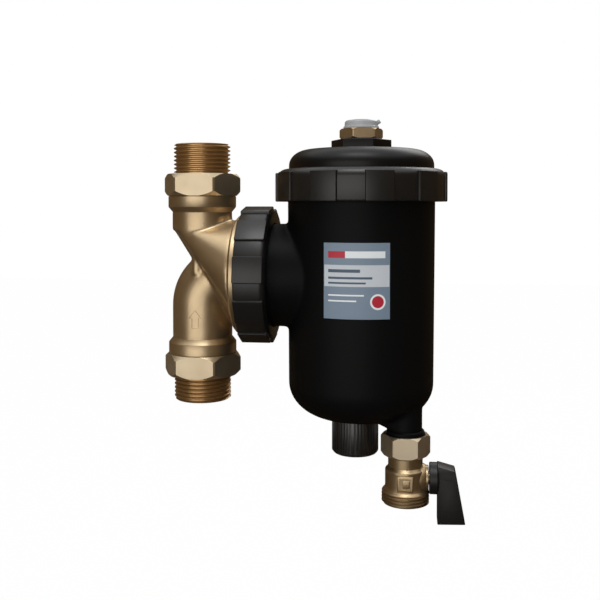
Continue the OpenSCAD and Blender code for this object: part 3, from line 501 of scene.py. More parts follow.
@dataclass
class Studio:
    """Camera, lamps, floor and surround."""

    eye: Point = (0.12162, -0.48116, 0.114)
    turn: float = math.radians(7.512)
    dip: float = math.radians(1.62)
    lens: float = 50.0
    shift: float = -0.1182
    floor_z: float = -0.30
    # Place under the middle of the filter, and the radius and height of the glowing sheets round it
    middle: tuple[float, float] = (0.06, 0.0)
    reflection_sheet_r: float = 1.6
    reflection_sheet_h: float = 1.7
    # Glow of the sheets that only reflections see: painted reflection, brown round the filter and darker
    # under it, standing in for the brass reflecting itself
    round_reflection_tone: Colour = (0.105, 0.066, 0.030)
    under_reflection_tone: Colour = (0.045, 0.027, 0.011)

    def camera(self) -> None:
        """Puts the camera where the photograph was taken from."""
        data = bpy.data.cameras.new("camera")
        data.lens = self.lens
        data.sensor_width = 36.0
        data.shift_y = self.shift
        eye = bpy.data.objects.new("camera", data)
        bpy.context.scene.collection.objects.link(eye)
        eye.location = self.eye
        eye.rotation_euler = (math.pi / 2 - self.dip, 0.0, self.turn)
        bpy.context.scene.camera = eye

    def lamp(self, name: str, at: Point, to: Point, size: tuple[float, float],
             power: float) -> None:
        """Hangs one soft rectangular lamp.

        Args:
            name: The lamp's name.
            at: Where it hangs.
            to: What it points at.
            size: Width and height.
            power: Power in watts.
        """
        data = bpy.data.lights.new(name, "AREA")
        data.shape = "RECTANGLE"
        data.size, data.size_y = size
        data.energy = power
        lamp = bpy.data.objects.new(name, data)
        bpy.context.scene.collection.objects.link(lamp)
        lamp.location = at
        lamp.rotation_euler = (Vector(to) - Vector(at)).to_track_quat("-Z", "Y").to_euler()

    def world(self) -> None:
        """White for the camera and in reflections, and a plain level for the light."""
        world = bpy.data.worlds.new("studio_world")
        world.use_nodes = True
        bpy.context.scene.world = world
        graph = Graph(world.node_tree)
        seen = self.seen(graph)
        light = graph.node("ShaderNodeBackground", {}, {"Color": (1, 1, 1, 1), "Strength": 0.45})
        white = graph.node("ShaderNodeBackground", {}, {"Color": (1, 1, 1, 1), "Strength": 1.0})
        both = graph.node("ShaderNodeMixShader", {}, {0: seen, 1: light, 2: white})
        graph.node("ShaderNodeOutputWorld", {}, {"Surface": both})

    @staticmethod
    def seen(graph: Graph) -> Wire:
        """One for rays that see the background: camera, glossy and transmitted rays."""
        rays = [graph.node("ShaderNodeLightPath", {}, {}, name)
                for name in ("Is Camera Ray", "Is Glossy Ray", "Is Transmission Ray")]
        return (rays[0] + rays[1] + rays[2]).clamped()

    def floor(self) -> None:
        """Lays a plain pale floor that keeps the shadow."""
        bpy.ops.mesh.primitive_plane_add(size=8.0, location=(*self.middle, self.floor_z))
        floor = bpy.context.object
        floor.name = "floor"
        material = bpy.data.materials.new("pale_floor")
        material.use_nodes = True
        graph = Graph(material.node_tree)
        paint = graph.node("ShaderNodeBsdfDiffuse", {}, {"Color": (0.92, 0.92, 0.92, 1)})
        glow = graph.node("ShaderNodeEmission", {}, {"Color": (1, 1, 1, 1), "Strength": 1.0})
        share = self.seen(graph) * 0.985
        graph.surface(graph.node("ShaderNodeMixShader", {}, {0: share, 1: paint, 2: glow}))
        floor.data.materials.append(material)

    def painted_reflection_sheet(self, piece: bpy.types.Object, name: str, colour: Colour) -> None:
        """Makes an object a glowing dark brown sheet that only reflections see: a painted reflection.

        Args:
            piece: The object.
            name: The object's new name.
            colour: Its glow, the colour of the painted reflection.
        """
        piece.name = name
        material = bpy.data.materials.new(name)
        material.use_nodes = True
        graph = Graph(material.node_tree)
        graph.surface(graph.node("ShaderNodeEmission", {}, {"Color": (*colour, 1.0), "Strength": 1.0}))
        piece.data.materials.append(material)
        piece.visible_camera = False
        piece.visible_diffuse = False
        piece.visible_shadow = False
        piece.visible_transmission = False

    def surround(self) -> None:
        """Stands a glowing sheet of painted reflection round the filter and lays one under it."""
        hung = self.floor_z + self.reflection_sheet_h / 2 + 0.01
        bpy.ops.mesh.primitive_cylinder_add(vertices=48, radius=self.reflection_sheet_r, depth=self.reflection_sheet_h,
                                            location=(*self.middle, hung),
                                            end_fill_type="NOTHING")
        self.painted_reflection_sheet(bpy.context.object, "painted_reflection_round", self.round_reflection_tone)
        bpy.ops.mesh.primitive_circle_add(vertices=48, radius=self.reflection_sheet_r, fill_type="NGON",
                                          location=(*self.middle, self.floor_z + 0.002))
        self.painted_reflection_sheet(bpy.context.object, "painted_reflection_under", self.under_reflection_tone)

    def build(self) -> None:
        """Builds the whole studio."""
        scene = bpy.context.scene
        scene.view_settings.view_transform = "Standard"
        self.camera()
        self.world()
        self.floor()
        self.surround()
        aim = (0.07, 0.0, 0.06)
        self.lamp("key", at=(-0.20, -1.04, 0.05), to=(0.07, 0.0, 0.05), size=(1.2, 0.68), power=3.8)
        self.lamp("back", at=(0.55, 1.25, 1.1), to=aim, size=(0.9, 0.7), power=5.0)
        self.lamp("top", at=(0.05, -0.45, 1.25), to=aim, size=(0.6, 0.45), power=4.0)
        LOG.info("studio ready")


# ---- Workbench --------------------------------------------------------------

def settle() -> None:
    """Leaves edit mode and deselects everything."""
    if bpy.context.object and bpy.context.object.mode != "OBJECT":
        bpy.ops.object.mode_set(mode="OBJECT")
    bpy.ops.object.select_all(action="DESELECT")


def take(piece: bpy.types.Object) -> None:
    """Makes one object the only one selected."""
    settle()
    piece.select_set(True)
    bpy.context.view_layer.objects.active = piece


def mend(piece: bpy.types.Object) -> None:
    """Merges doubled points and turns all faces outwards."""
    take(piece)
    bpy.ops.object.mode_set(mode="EDIT")
    bpy.ops.mesh.select_all(action="SELECT")
    bpy.ops.mesh.remove_doubles(threshold=1e-6)
    bpy.ops.mesh.normals_make_consistent(inside=False)
    bpy.ops.object.mode_set(mode="OBJECT")


def chain(name: str, points: Sequence[Point]) -> bpy.types.Object:
    """Draws an open chain of edges, point by point.

    Args:
        name: Name of the new object.
        points: The chain's points in millimetres.

    Returns:
        The new object, left in edit mode with all of it selected.
    """
    settle()
    bpy.ops.mesh.primitive_circle_add(vertices=3, radius=MM)
    piece = bpy.context.object
    piece.name = name
    bpy.ops.object.mode_set(mode="EDIT")
    bpy.ops.mesh.select_all(action="SELECT")
    bpy.ops.mesh.merge(type="CENTER")
    here = Vector((0.0, 0.0, 0.0))
    for number, point in enumerate(points):
        there = Vector(point) * MM
        if number == 0:
            bpy.ops.transform.translate(value=there - here)
        else:
            bpy.ops.mesh.extrude_region_move(TRANSFORM_OT_translate={"value": there - here})
        here = there
    bpy.ops.mesh.select_all(action="SELECT")
    return piece


def turned(name: str, profile: Profile, steps: int = 96) -> bpy.types.Object:
    """Turns a profile of radius and height round the Z axis.

    Args:
        name: Name of the new object.
        profile: Radius and height of each point in millimetres. It starts and ends on the
            axis, or ends where it starts.
        steps: Number of flats round the axis.

    Returns:
        The closed solid.
    """
    piece = chain(name, [(radius, 0.0, height) for radius, height in profile])
    bpy.ops.mesh.spin(steps=steps, angle=TAU, center=(0, 0, 0), axis=(0, 0, 1))
    mend(piece)
    return piece


def bend_of(radius: float, height: float, across: float, up: float, start: float, end: float,
            steps: int = 8) -> Profile:
    """Points of an elliptic arc for a profile.

    Args:
        radius: Radius of the arc's centre.
        height: Height of the arc's centre.
        across: Half axis along the radius.
        up: Half axis along the height.
        start: First angle in degrees.
        end: Last angle in degrees.
        steps: Number of stretches.

    Returns:
        The points, both ends among them.
    """
    turns = [math.radians(start + (end - start) * i / steps) for i in range(steps + 1)]
    return [(radius + across * math.cos(t), height + up * math.sin(t)) for t in turns]


def tube_profile(outer: float, inner: float, low: float, high: float) -> Profile:
    """Profile of a plain ring."""
    return [(inner, low), (outer, low), (outer, high), (inner, high), (inner, low)]


def place(piece: bpy.types.Object, at: Point = (0, 0, 0), turn: Point = (0, 0, 0)) -> bpy.types.Object:
    """Turns and moves an object, and puts both into its mesh.

    Args:
        piece: The object.
        at: Where its origin goes, in millimetres.
        turn: Turn about each axis in degrees.

    Returns:
        The same object.
    """
    take(piece)
    piece.location = Vector(at) * MM
    piece.rotation_euler = [math.radians(a) for a in turn]
    bpy.ops.object.transform_apply(location=True, rotation=True, scale=True)
    return piece


def sideways(piece: bpy.types.Object, height: float = 0.0) -> bpy.types.Object:
    """Lays a piece that was made along Z along X, at a height in millimetres."""
    return place(piece, (0, 0, height), (0, 90, 0))


def rod(name: str, radius: float, low: float, high: float, steps: int = 96) -> bpy.types.Object:
    """Adds a round rod along Z, all sizes in millimetres."""
    settle()
    bpy.ops.mesh.primitive_cylinder_add(vertices=steps, radius=radius * MM,
                                        depth=(high - low) * MM,
                                        location=(0, 0, (high + low) / 2 * MM))
    piece = bpy.context.object
    piece.name = name
    return place_kept(piece)


def block(name: str, low: Point, high: Point) -> bpy.types.Object:
    """Adds a block between two corners given in millimetres."""
    settle()
    middle = (Vector(low) + Vector(high)) / 2 * MM
    bpy.ops.mesh.primitive_cube_add(size=1.0, location=middle)
    piece = bpy.context.object
    piece.name = name
    piece.scale = (Vector(high) - Vector(low)) * MM
    return place_kept(piece)


def place_kept(piece: bpy.types.Object) -> bpy.types.Object:
    """Puts a new primitive's own place and size into its mesh."""
    take(piece)
    bpy.ops.object.transform_apply(location=True, rotation=True, scale=True)
    return piece


def slab(name: str, outline: Profile, front: float, back: float) -> bpy.types.Object:
    """Makes a flat solid of one outline.

    Args:
        name: Name of the new object.
        outline: Its corners along X and Z, in millimetres.
        front: Where it starts along Y.
        back: Where it ends along Y.

    Returns:
        The closed solid.
    """
    piece = chain(name, [(x, front, z) for x, z in outline])
    bpy.ops.mesh.edge_face_add()
    bpy.ops.mesh.extrude_region_move(TRANSFORM_OT_translate={"value": (0, (back - front) * MM, 0)})
    mend(piece)
    return piece


def stretched(discs: Sequence[tuple[float, Point, bool]], steps: int = 96) -> bpy.types.Object:
    """Stretches a skin over discs.

    Args:
        discs: Radius and centre of each disc, and whether it faces sideways, to the union.
        steps: Number of points round each disc.

    Returns:
        The closed solid.
    """
    settle()
    bpy.ops.mesh.primitive_circle_add(vertices=3, radius=MM)
    piece = bpy.context.object
    bpy.ops.object.mode_set(mode="EDIT")
    bpy.ops.mesh.select_all(action="SELECT")
    bpy.ops.mesh.delete(type="VERT")
    for radius, centre, aside in discs:
        bpy.ops.mesh.primitive_circle_add(vertices=steps, radius=radius * MM,
                                          location=Vector(centre) * MM,
                                          rotation=(0, math.pi / 2 if aside else 0, 0))
    bpy.ops.mesh.select_all(action="SELECT")
    bpy.ops.mesh.convex_hull()
    bpy.ops.object.mode_set(mode="OBJECT")
    place_kept(piece)
    mend(piece)
    return piece


def apply(piece: bpy.types.Object, kind: str, **settings: object) -> bpy.types.Object:
    """Adds a modifier and applies it.

    Args:
        piece: The object.
        kind: The modifier's type.
        settings: The modifier's properties.

    Returns:
        The same object.
    """
    take(piece)
    modifier = piece.modifiers.new(kind.lower(), kind)
    for name, value in settings.items():
        setattr(modifier, name, value)
    bpy.ops.object.modifier_apply(modifier=modifier.name)
    return piece


def carve(piece: bpy.types.Object, *tools: bpy.types.Object, how: str = "DIFFERENCE",
          solver: str = "MANIFOLD") -> bpy.types.Object:
    """Cuts, joins or crosses a solid with others, which are used up.

    Args:
        piece: The solid that stays.
        tools: The solids that it is worked with, one after another.
        how: DIFFERENCE, UNION or INTERSECT.
        solver: The boolean modifier's solver.

    Returns:
        The solid that stays.
    """
    for tool in tools:
        apply(piece, "BOOLEAN", operation=how, object=tool, solver=solver)
        bpy.data.objects.remove(tool, do_unlink=True)
    return piece


def bevel(piece: bpy.types.Object, width: float, segments: int = 3,
          angle: float = 35.0) -> bpy.types.Object:
    """Rounds all edges sharper than an angle, by a width in millimetres."""
    return apply(piece, "BEVEL", width=width * MM, segments=segments, limit_method="ANGLE",
                 angle_limit=math.radians(angle), harden_normals=False)


def merge(piece: bpy.types.Object, *others: bpy.types.Object) -> bpy.types.Object:
    """Joins objects into the first one without cutting them."""
    take(piece)
    for other in others:
        other.select_set(True)
    bpy.ops.object.join()
    return piece


def melt(piece: bpy.types.Object, grain: float, passes: int) -> bpy.types.Object:
    """Melts overlapping solids into one skin with soft corners.

    Args:
        piece: The object.
        grain: Size of the skin's faces in millimetres.
        passes: Number of smoothing passes.

    Returns:
        The same object.
    """
    apply(piece, "REMESH", mode="VOXEL", voxel_size=grain * MM, adaptivity=0.0)
    return apply(piece, "SMOOTH", factor=0.5, iterations=passes)


def hexagon(name: str, flats: float, low: float, high: float, drop: float,
            corner: float, turn: float = 0.0) -> bpy.types.Object:
    """Mills a hexagon bar and turns its corners off.

    Args:
        name: Name of the new object.
        flats: Width across the flats in millimetres.
        low: Lower end.
        high: Upper end.
        drop: Height of the chamfer at each corner.
        corner: Radius that the corners are turned to.
        turn: Turn from flats at the front, in degrees.

    Returns:
        The solid.
    """
    bar = place(rod(name, flats / math.sqrt(3), low, high, 6), turn=(0, 0, 30 + turn))
    blank = turned("blank", [(0, low), (corner - drop, low), (corner, low + drop),
                             (corner, high - drop), (corner - drop, high), (0, high)], 144)
    return carve(bar, blank, how="INTERSECT")


@dataclass(frozen=True)
class Thread:
    """A screw thread, in millimetres."""

    radius: float
    depth: float
    pitch: float
    lead: float = 1.0

    def cut(self, name: str, low: float, high: float, upwards: bool = True) -> bpy.types.Object:
        """Makes a threaded rod along Z.

        Args:
            name: Name of the new object.
            low: Lower end.
            high: Upper end.
            upwards: Whether the chamfered end is the upper one.

        Returns:
            The closed solid.
        """
        root = self.radius - self.depth
        start = low - 1.37 * self.pitch
        ridge = [(root, 0.0), (root, 0.08), (self.radius, 0.42), (self.radius, 0.56),
                 (root, 0.9), (root, 1.0)]
        piece = chain(name, [(r, 0.0, start + share * self.pitch) for r, share in ridge])
        settle()
        turns = math.ceil((high - low) / self.pitch) + 4
        apply(piece, "SCREW", axis="Z", angle=TAU, screw_offset=self.pitch * MM,
              iterations=turns, steps=72, render_steps=72, use_merge_vertices=True,
              merge_threshold=1e-6)
        mend(piece)
        take(piece)
        bpy.ops.object.mode_set(mode="EDIT")
        for level, side in ((low, "clear_inner"), (high, "clear_outer")):
            bpy.ops.mesh.select_all(action="SELECT")
            bpy.ops.mesh.bisect(plane_co=(0, 0, level * MM), plane_no=(0, 0, 1), use_fill=True,
                                threshold=1e-7, **{side: True})
        mend(piece)
        near, far = (low, high) if upwards else (high, low)
        step = self.lead if upwards else -self.lead
        profile = [(0, near), (self.radius + 1, near), (self.radius + 1, far - step),
                   (self.radius + 1 - self.depth - 0.6, far), (0, far)]
        return carve(piece, turned("blank", profile), how="INTERSECT")


def finish(piece: bpy.types.Object, stock: "Stock", body: str, slot: str, *nodes: str,
           angle: float = 35.0) -> bpy.types.Object:
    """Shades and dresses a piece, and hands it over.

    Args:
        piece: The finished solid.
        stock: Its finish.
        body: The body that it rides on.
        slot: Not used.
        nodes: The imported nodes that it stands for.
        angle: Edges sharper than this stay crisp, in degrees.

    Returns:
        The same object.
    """
    take(piece)
    bpy.ops.object.shade_smooth_by_angle(angle=math.radians(angle))
    piece.data.materials.clear()
    piece.data.materials.append(stock.make())
    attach(piece, body)
    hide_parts(*nodes)
    piece.select_set(False)
    LOG.info("%s: %d faces", piece.name, len(piece.data.polygons))
    return piece


# ---- Places -----------------------------------------------------------------

def middle(node: str) -> Point:
    """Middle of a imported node's box, in millimetres."""
    low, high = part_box(node)
    return tuple((low[i] + high[i]) / 2 / MM for i in range(3))


def span(node: str, axis: int) -> tuple[float, float]:
    """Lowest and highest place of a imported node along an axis, in millimetres."""
    low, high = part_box(node)
    return low[axis] / MM, high[axis] / MM


@dataclass(frozen=True)
class Axes:
    """The axes that the filter is built round, in millimetres."""

    union_z: float = middle("union_ring")[2]
    housing_x: float = middle("lid")[0]
    magnet: tuple[float, float] = middle("magnet_pocket")[:2]
    drain: tuple[float, float] = middle("drain_gasket")[:2]
    stem_z: float = middle("drain_ball")[2]


AXES = Axes()


# ---- Pipe connections -------------------------------------------------------

@dataclass
class Nipple:
    """A hexagon nipple with its pipe thread."""

    node: str
    upwards: bool
    thread: Thread = Thread(16.6, 1.48, 2.309, 1.6)
    flats: float = 40.0
    hexagon_h: float = 12.8
    corner_r: float = 22.75
    corner_drop: float = 2.55
    bore_r: float = 13.0
    spigot_r: float = 16.325
    spigot_l: float = 6.8
    neck_l: float = 0.9

    def build(self) -> None:
        """Builds the nipple upright and turns it over where it points down."""
        low, high = span(self.node, 2)
        length = high - low
        hex_low, hex_high = self.spigot_l, self.spigot_l + self.hexagon_h
        piece = hexagon(self.node + "_turned", self.flats, hex_low, hex_high,
                        self.corner_drop, self.corner_r)
        screw = self.thread.cut("screw", hex_high - 0.5, length)
        spigot = rod("spigot", self.spigot_r, 0, hex_low + 1)
        undercut = turned("undercut", tube_profile(self.thread.radius + 1, self.thread.radius - 1.5,
                                                   hex_high, hex_high + self.neck_l))
        carve(screw, undercut)
        carve(piece, screw, spigot, how="UNION")
        bore = turned("bore", [(0, -1), (self.bore_r, -1), (self.bore_r, length - 0.6),
                               (self.bore_r + 0.8, length + 0.2), (0, length + 1)])
        carve(piece, bore)
        if self.upwards:
            place(piece, (0, 0, low))
        else:
            place(piece, (0, 0, high), (180, 0, 0))
        finish(piece, Stock.NIPPLE, "diverter", "brass_thread", self.node, angle=28)


@dataclass
class Casting:
    """The S-shaped brass casting between the pipe and the union."""

    pipe_r: float = 17.5
    bore_r: float = 13.3
    reach: float = 46.2
    collar_l: float = 9.0
    collar_r: float = 19.85
    socket_r: float = 16.375
    socket_l: float = 8.0
    elbow_r: float = 17.6
    funnel_top: float = 26.0
    funnel_r: float = 32.0
    funnel_x: float = 20.6
    flange_x: float = 22.8
    flange_t: float = 2.6
    flange_r: float = 34.5
    chamber_r: float = 28.3
    spout_r: float = 16.2
    spout_x: float = 39.4
    thread: Thread = Thread(33.0, 1.2, 2.5, 0.8)
    thread_l: float = 8.0
    # Ends of the crease between the funnel's front and its underside, from the union's axis
    crease: tuple[Point, Point] = ((-9.7, -14.2, 24.5), (15.2, -30.0, -3.3))
    # Where the underside's plane meets the funnel's back edge
    crease_foot: Point = (-17.4, 0.0, 26.0)
    boss_r: float = 2.7
    boss_span: tuple[float, float] = (0.8, 12.0)
    boss_at: Point = (0.2, -14.2, 0.0)
    # Radius and distance along the union's axis of the filling between elbow and funnel
    web: tuple[tuple[float, float], ...] = ((0, 10), (15, 10), (24, 23), (0, 23))
    grain: float = 0.65
    wall: float = 2.6

    def funnel(self) -> bpy.types.Object:
        """Makes the funnel, with its underside cut flat on both sides."""
        piece = stretched([(self.pipe_r - 0.3, (0, 0, self.funnel_top), False),
                           (self.funnel_r, (self.funnel_x, 0, 0), True),
                           (self.funnel_r, (self.flange_x + 1, 0, 0), True)])
        return self.facets(piece, 0.0)

    def facets(self, piece: bpy.types.Object, inset: float) -> bpy.types.Object:
        """Cuts the underside flat on both sides.

        Args:
            piece: The solid that is cut.
            inset: How far inside the casting's own facets the cuts lie, in millimetres.

        Returns:
            The same object.
        """
        near, far = (Vector(point) for point in self.crease)
        foot = Vector(self.crease_foot)
        for side in (1, -1):
            flip = Vector((1, side, 1))
            first, last, base = near * flip, far * flip, foot * flip
            normal = ((last - first).cross(base - first) * side).normalized()
            take(piece)
            bpy.ops.object.mode_set(mode="EDIT")
            bpy.ops.mesh.select_all(action="SELECT")
            bpy.ops.mesh.bisect(plane_co=(first + normal * inset) * MM, plane_no=normal,
                                use_fill=True, clear_inner=True, threshold=1e-7)
            mend(piece)
        return piece

    def elbow(self, radius: float, foot: float, mouth: float) -> bpy.types.Object:
        """Makes the lower pipe with its bend towards the union.

        Args:
            radius: Radius of the pipe.
            foot: Its lower end.
            mouth: Its sideways end.

        Returns:
            The closed solid.
        """
        settle()
        bpy.ops.mesh.primitive_circle_add(vertices=96, radius=radius * MM, fill_type="NGON",
                                          location=(0, 0, foot * MM))
        piece = bpy.context.object
        bpy.ops.object.mode_set(mode="EDIT")
        bpy.ops.mesh.select_all(action="SELECT")
        rise = (-self.elbow_r - foot) * MM
        bpy.ops.mesh.extrude_region_move(TRANSFORM_OT_translate={"value": (0, 0, rise)})
        bpy.ops.mesh.spin(steps=24, angle=-math.pi / 2, axis=(0, 1, 0),
                          center=(self.elbow_r * MM, 0, -self.elbow_r * MM))
        run = (mouth - self.elbow_r) * MM
        bpy.ops.mesh.extrude_region_move(TRANSFORM_OT_translate={"value": (run, 0, 0)})
        bpy.ops.object.mode_set(mode="OBJECT")
        place_kept(piece)
        mend(piece)
        return piece

    def skin(self) -> bpy.types.Object:
        """Melts pipe, elbow, funnel and boss into one cast skin."""
        collar_foot = self.reach - self.collar_l
        piece = self.elbow(self.pipe_r, -collar_foot - 1, self.flange_x + 1)
        pipe = rod("pipe", self.pipe_r, self.funnel_top - 0.2, collar_foot + 1)
        boss = place(rod("boss", self.boss_r, *self.boss_span, 24), self.boss_at)
        web = sideways(turned("web", self.web))
        merge(piece, pipe, self.funnel(), boss, web)
        return melt(piece, self.grain, 20)

    def collar(self, side: int) -> bpy.types.Object:
        """Turns one collar.

        Args:
            side: 1 for the upper collar, -1 for the lower one.

        Returns:
            The closed solid, round the union's level.
        """
        foot = self.reach - self.collar_l
        profile = [(0, foot - 2), (self.pipe_r - 0.4, foot - 2), (self.pipe_r, foot - 0.4),
                   (self.collar_r - 0.3, foot + 2.1), (self.collar_r, foot + 2.6),
                   (self.collar_r, self.reach - 0.5), (self.collar_r - 0.5, self.reach),
                   (0, self.reach)]
        piece = turned("collar", profile, 144)
        return place(piece, turn=(0 if side > 0 else 180, 0, 0))

    def arrow(self) -> bpy.types.Object:
        """Makes the tool that cuts the outline of a plain arrow into the lower pipe."""
        half, neck, low, barb, tip, line = 4.0, 2.2, -30.0, -24.2, -19.2, 0.5
        outer = [(-neck, low), (neck, low), (neck, barb), (half, barb), (0, tip), (-half, barb),
                 (-neck, barb)]
        inner = [(-neck + line, low + line), (neck - line, low + line),
                 (neck - line, barb + line), (half - 2.4 * line, barb + line),
                 (0, tip - 1.6 * line), (-half + 2.4 * line, barb + line),
                 (-neck + line, barb + line)]
        solid = slab("arrow", outer, -19.0, -14.0)
        carve(solid, slab("arrow", inner, -21.0, -14.0), solver="EXACT")
        core = rod("core", self.pipe_r - 0.5, low - 5, tip + 5)
        return carve(solid, core, solver="EXACT")

    def water_ways(self) -> list[bpy.types.Object]:
        """Makes the solids of all that is hollow in the casting."""
        chamber = stretched([(self.bore_r, (0, 0, self.funnel_top), False),
                             (self.bore_r, (0, 0, self.funnel_top + 2), False),
                             (self.chamber_r, (self.funnel_x, 0, 0), True),
                             (self.chamber_r, (self.flange_x + 20, 0, 0), True)])
        self.facets(chamber, self.wall)
        shell = self.elbow(self.pipe_r, -self.reach, self.elbow_r + 0.1)
        spout = sideways(rod("spout", self.spout_r, self.elbow_r - 2, self.spout_x + 20))
        carve(chamber, shell, spout)
        upper = rod("upper_bore", self.bore_r, self.funnel_top, self.reach + 1)
        lower = self.elbow(self.bore_r, -self.reach - 1, self.spout_x + 1)
        sockets = [rod("socket", self.socket_r, side * self.reach - (self.socket_l if side > 0 else 1),
                       side * self.reach + (1 if side > 0 else self.socket_l)) for side in (1, -1)]
        return [chamber, upper, lower, *sockets]

    def build(self) -> None:
        """Builds the whole casting."""
        piece = self.skin()
        flange_end = self.flange_x + self.flange_t
        flange = turned("flange", [(0, self.flange_x - 1.2), (self.flange_r - 1.6, self.flange_x - 1.2),
                                   (self.flange_r, self.flange_x + 0.2), (self.flange_r, flange_end - 0.4),
                                   (self.flange_r - 0.4, flange_end), (0, flange_end)], 144)
        screw = self.thread.cut("screw", flange_end - 1, flange_end + self.thread_l)
        spout = turned("spout", [(0, self.elbow_r), (self.spout_r, self.elbow_r),
                                 (self.spout_r, self.spout_x - 3.6),
                                 (self.spout_r - 1.5, self.spout_x - 3.6),
                                 (self.spout_r - 1.5, self.spout_x - 1.6),
                                 (self.spout_r, self.spout_x - 1.6),
                                 (self.spout_r, self.spout_x - 0.5),
                                 (self.spout_r - 0.5, self.spout_x), (0, self.spout_x)])
        for side_piece in (flange, screw, spout):
            sideways(side_piece)
        carve(piece, self.collar(1), self.collar(-1), flange, screw, how="UNION")
        carve(piece, self.arrow(), solver="EXACT")
        chamber, *others = self.water_ways()
        carve(piece, chamber)
        carve(piece, spout, how="UNION")
        carve(piece, *others)
        place(piece, (0, 0, AXES.union_z))
        piece.name = "diverter_casting"
        finish(piece, Stock.CASTING, "diverter", "brass", "diverter_body", angle=32)


# ---- Rings with grips -------------------------------------------------------

@dataclass
class GripRing:
    """A moulded nut with flat grips round it."""

    name: str
    node: str
    body: str
    width: float
    rim_r: float
    grip_r: float
    grip_w: float
    grip_h: float
    grip_turn: float
    thread_r: float
    mouth_r: float
    roof: float
    top_round: float
    grips: int = 10
    edge: float = 0.7

    def build(self, at: Point, turn: Point) -> None:
        """Builds the ring upright, and turns it to its place.

        Args:
            at: Centre of its open end, in millimetres.
            turn: Turn about each axis, in degrees.
        """
        profile = [(0, 0), (self.rim_r - 1.2, 0), (self.rim_r - 0.3, 0.4), (self.rim_r, 1.2),
                   *bend_of(self.rim_r - self.top_round, self.width - self.top_round,
                            self.top_round, self.top_round, 0, 90), (0, self.width)]
        piece = turned(self.name, profile, 180)
        for number in range(self.grips):
            grip = block("grip", (self.rim_r - 8, -self.grip_w / 2, 0),
                         (self.grip_r, self.grip_w / 2, self.grip_h))
            bevel(grip, self.edge)
            place(grip, turn=(0, 0, self.grip_turn + number * 360 / self.grips))
            carve(piece, grip, how="UNION")
        bore = turned("bore", [(0, -1), (self.thread_r + 0.8, -1), (self.thread_r + 0.8, 0),
                               (self.thread_r, 0.8), (self.thread_r, self.width - self.roof),
                               (self.mouth_r, self.width - self.roof),
                               (self.mouth_r, self.width - 0.6),
                               (self.mouth_r + 0.6, self.width), (self.mouth_r + 0.6, self.width + 1),
                               (0, self.width + 1)], 144)
        carve(piece, bore)
        place(piece, at, turn)
        finish(piece, Stock.RING, self.body, "ring_nylon", self.node, angle=24)


UNION_RING = GripRing(name="union_ring_moulding", node="union_ring", body="union_nut", width=18.0,
                      rim_r=38.7, grip_r=39.4, grip_w=14.9, grip_h=17.0, grip_turn=90 - 8.2,
                      thread_r=33.3, mouth_r=30.2, roof=5.0, top_round=3.6)
LID_RING = GripRing(name="lid_ring_moulding", node="lid_ring", body="lid_lock", width=18.5,
                    rim_r=48.4, grip_r=49.0, grip_w=15.6, grip_h=16.6, grip_turn=15 - 90,
                    thread_r=44.7, mouth_r=41.9, roof=1.9, top_round=5.2)


# ---- Canister ---------------------------------------------------------------

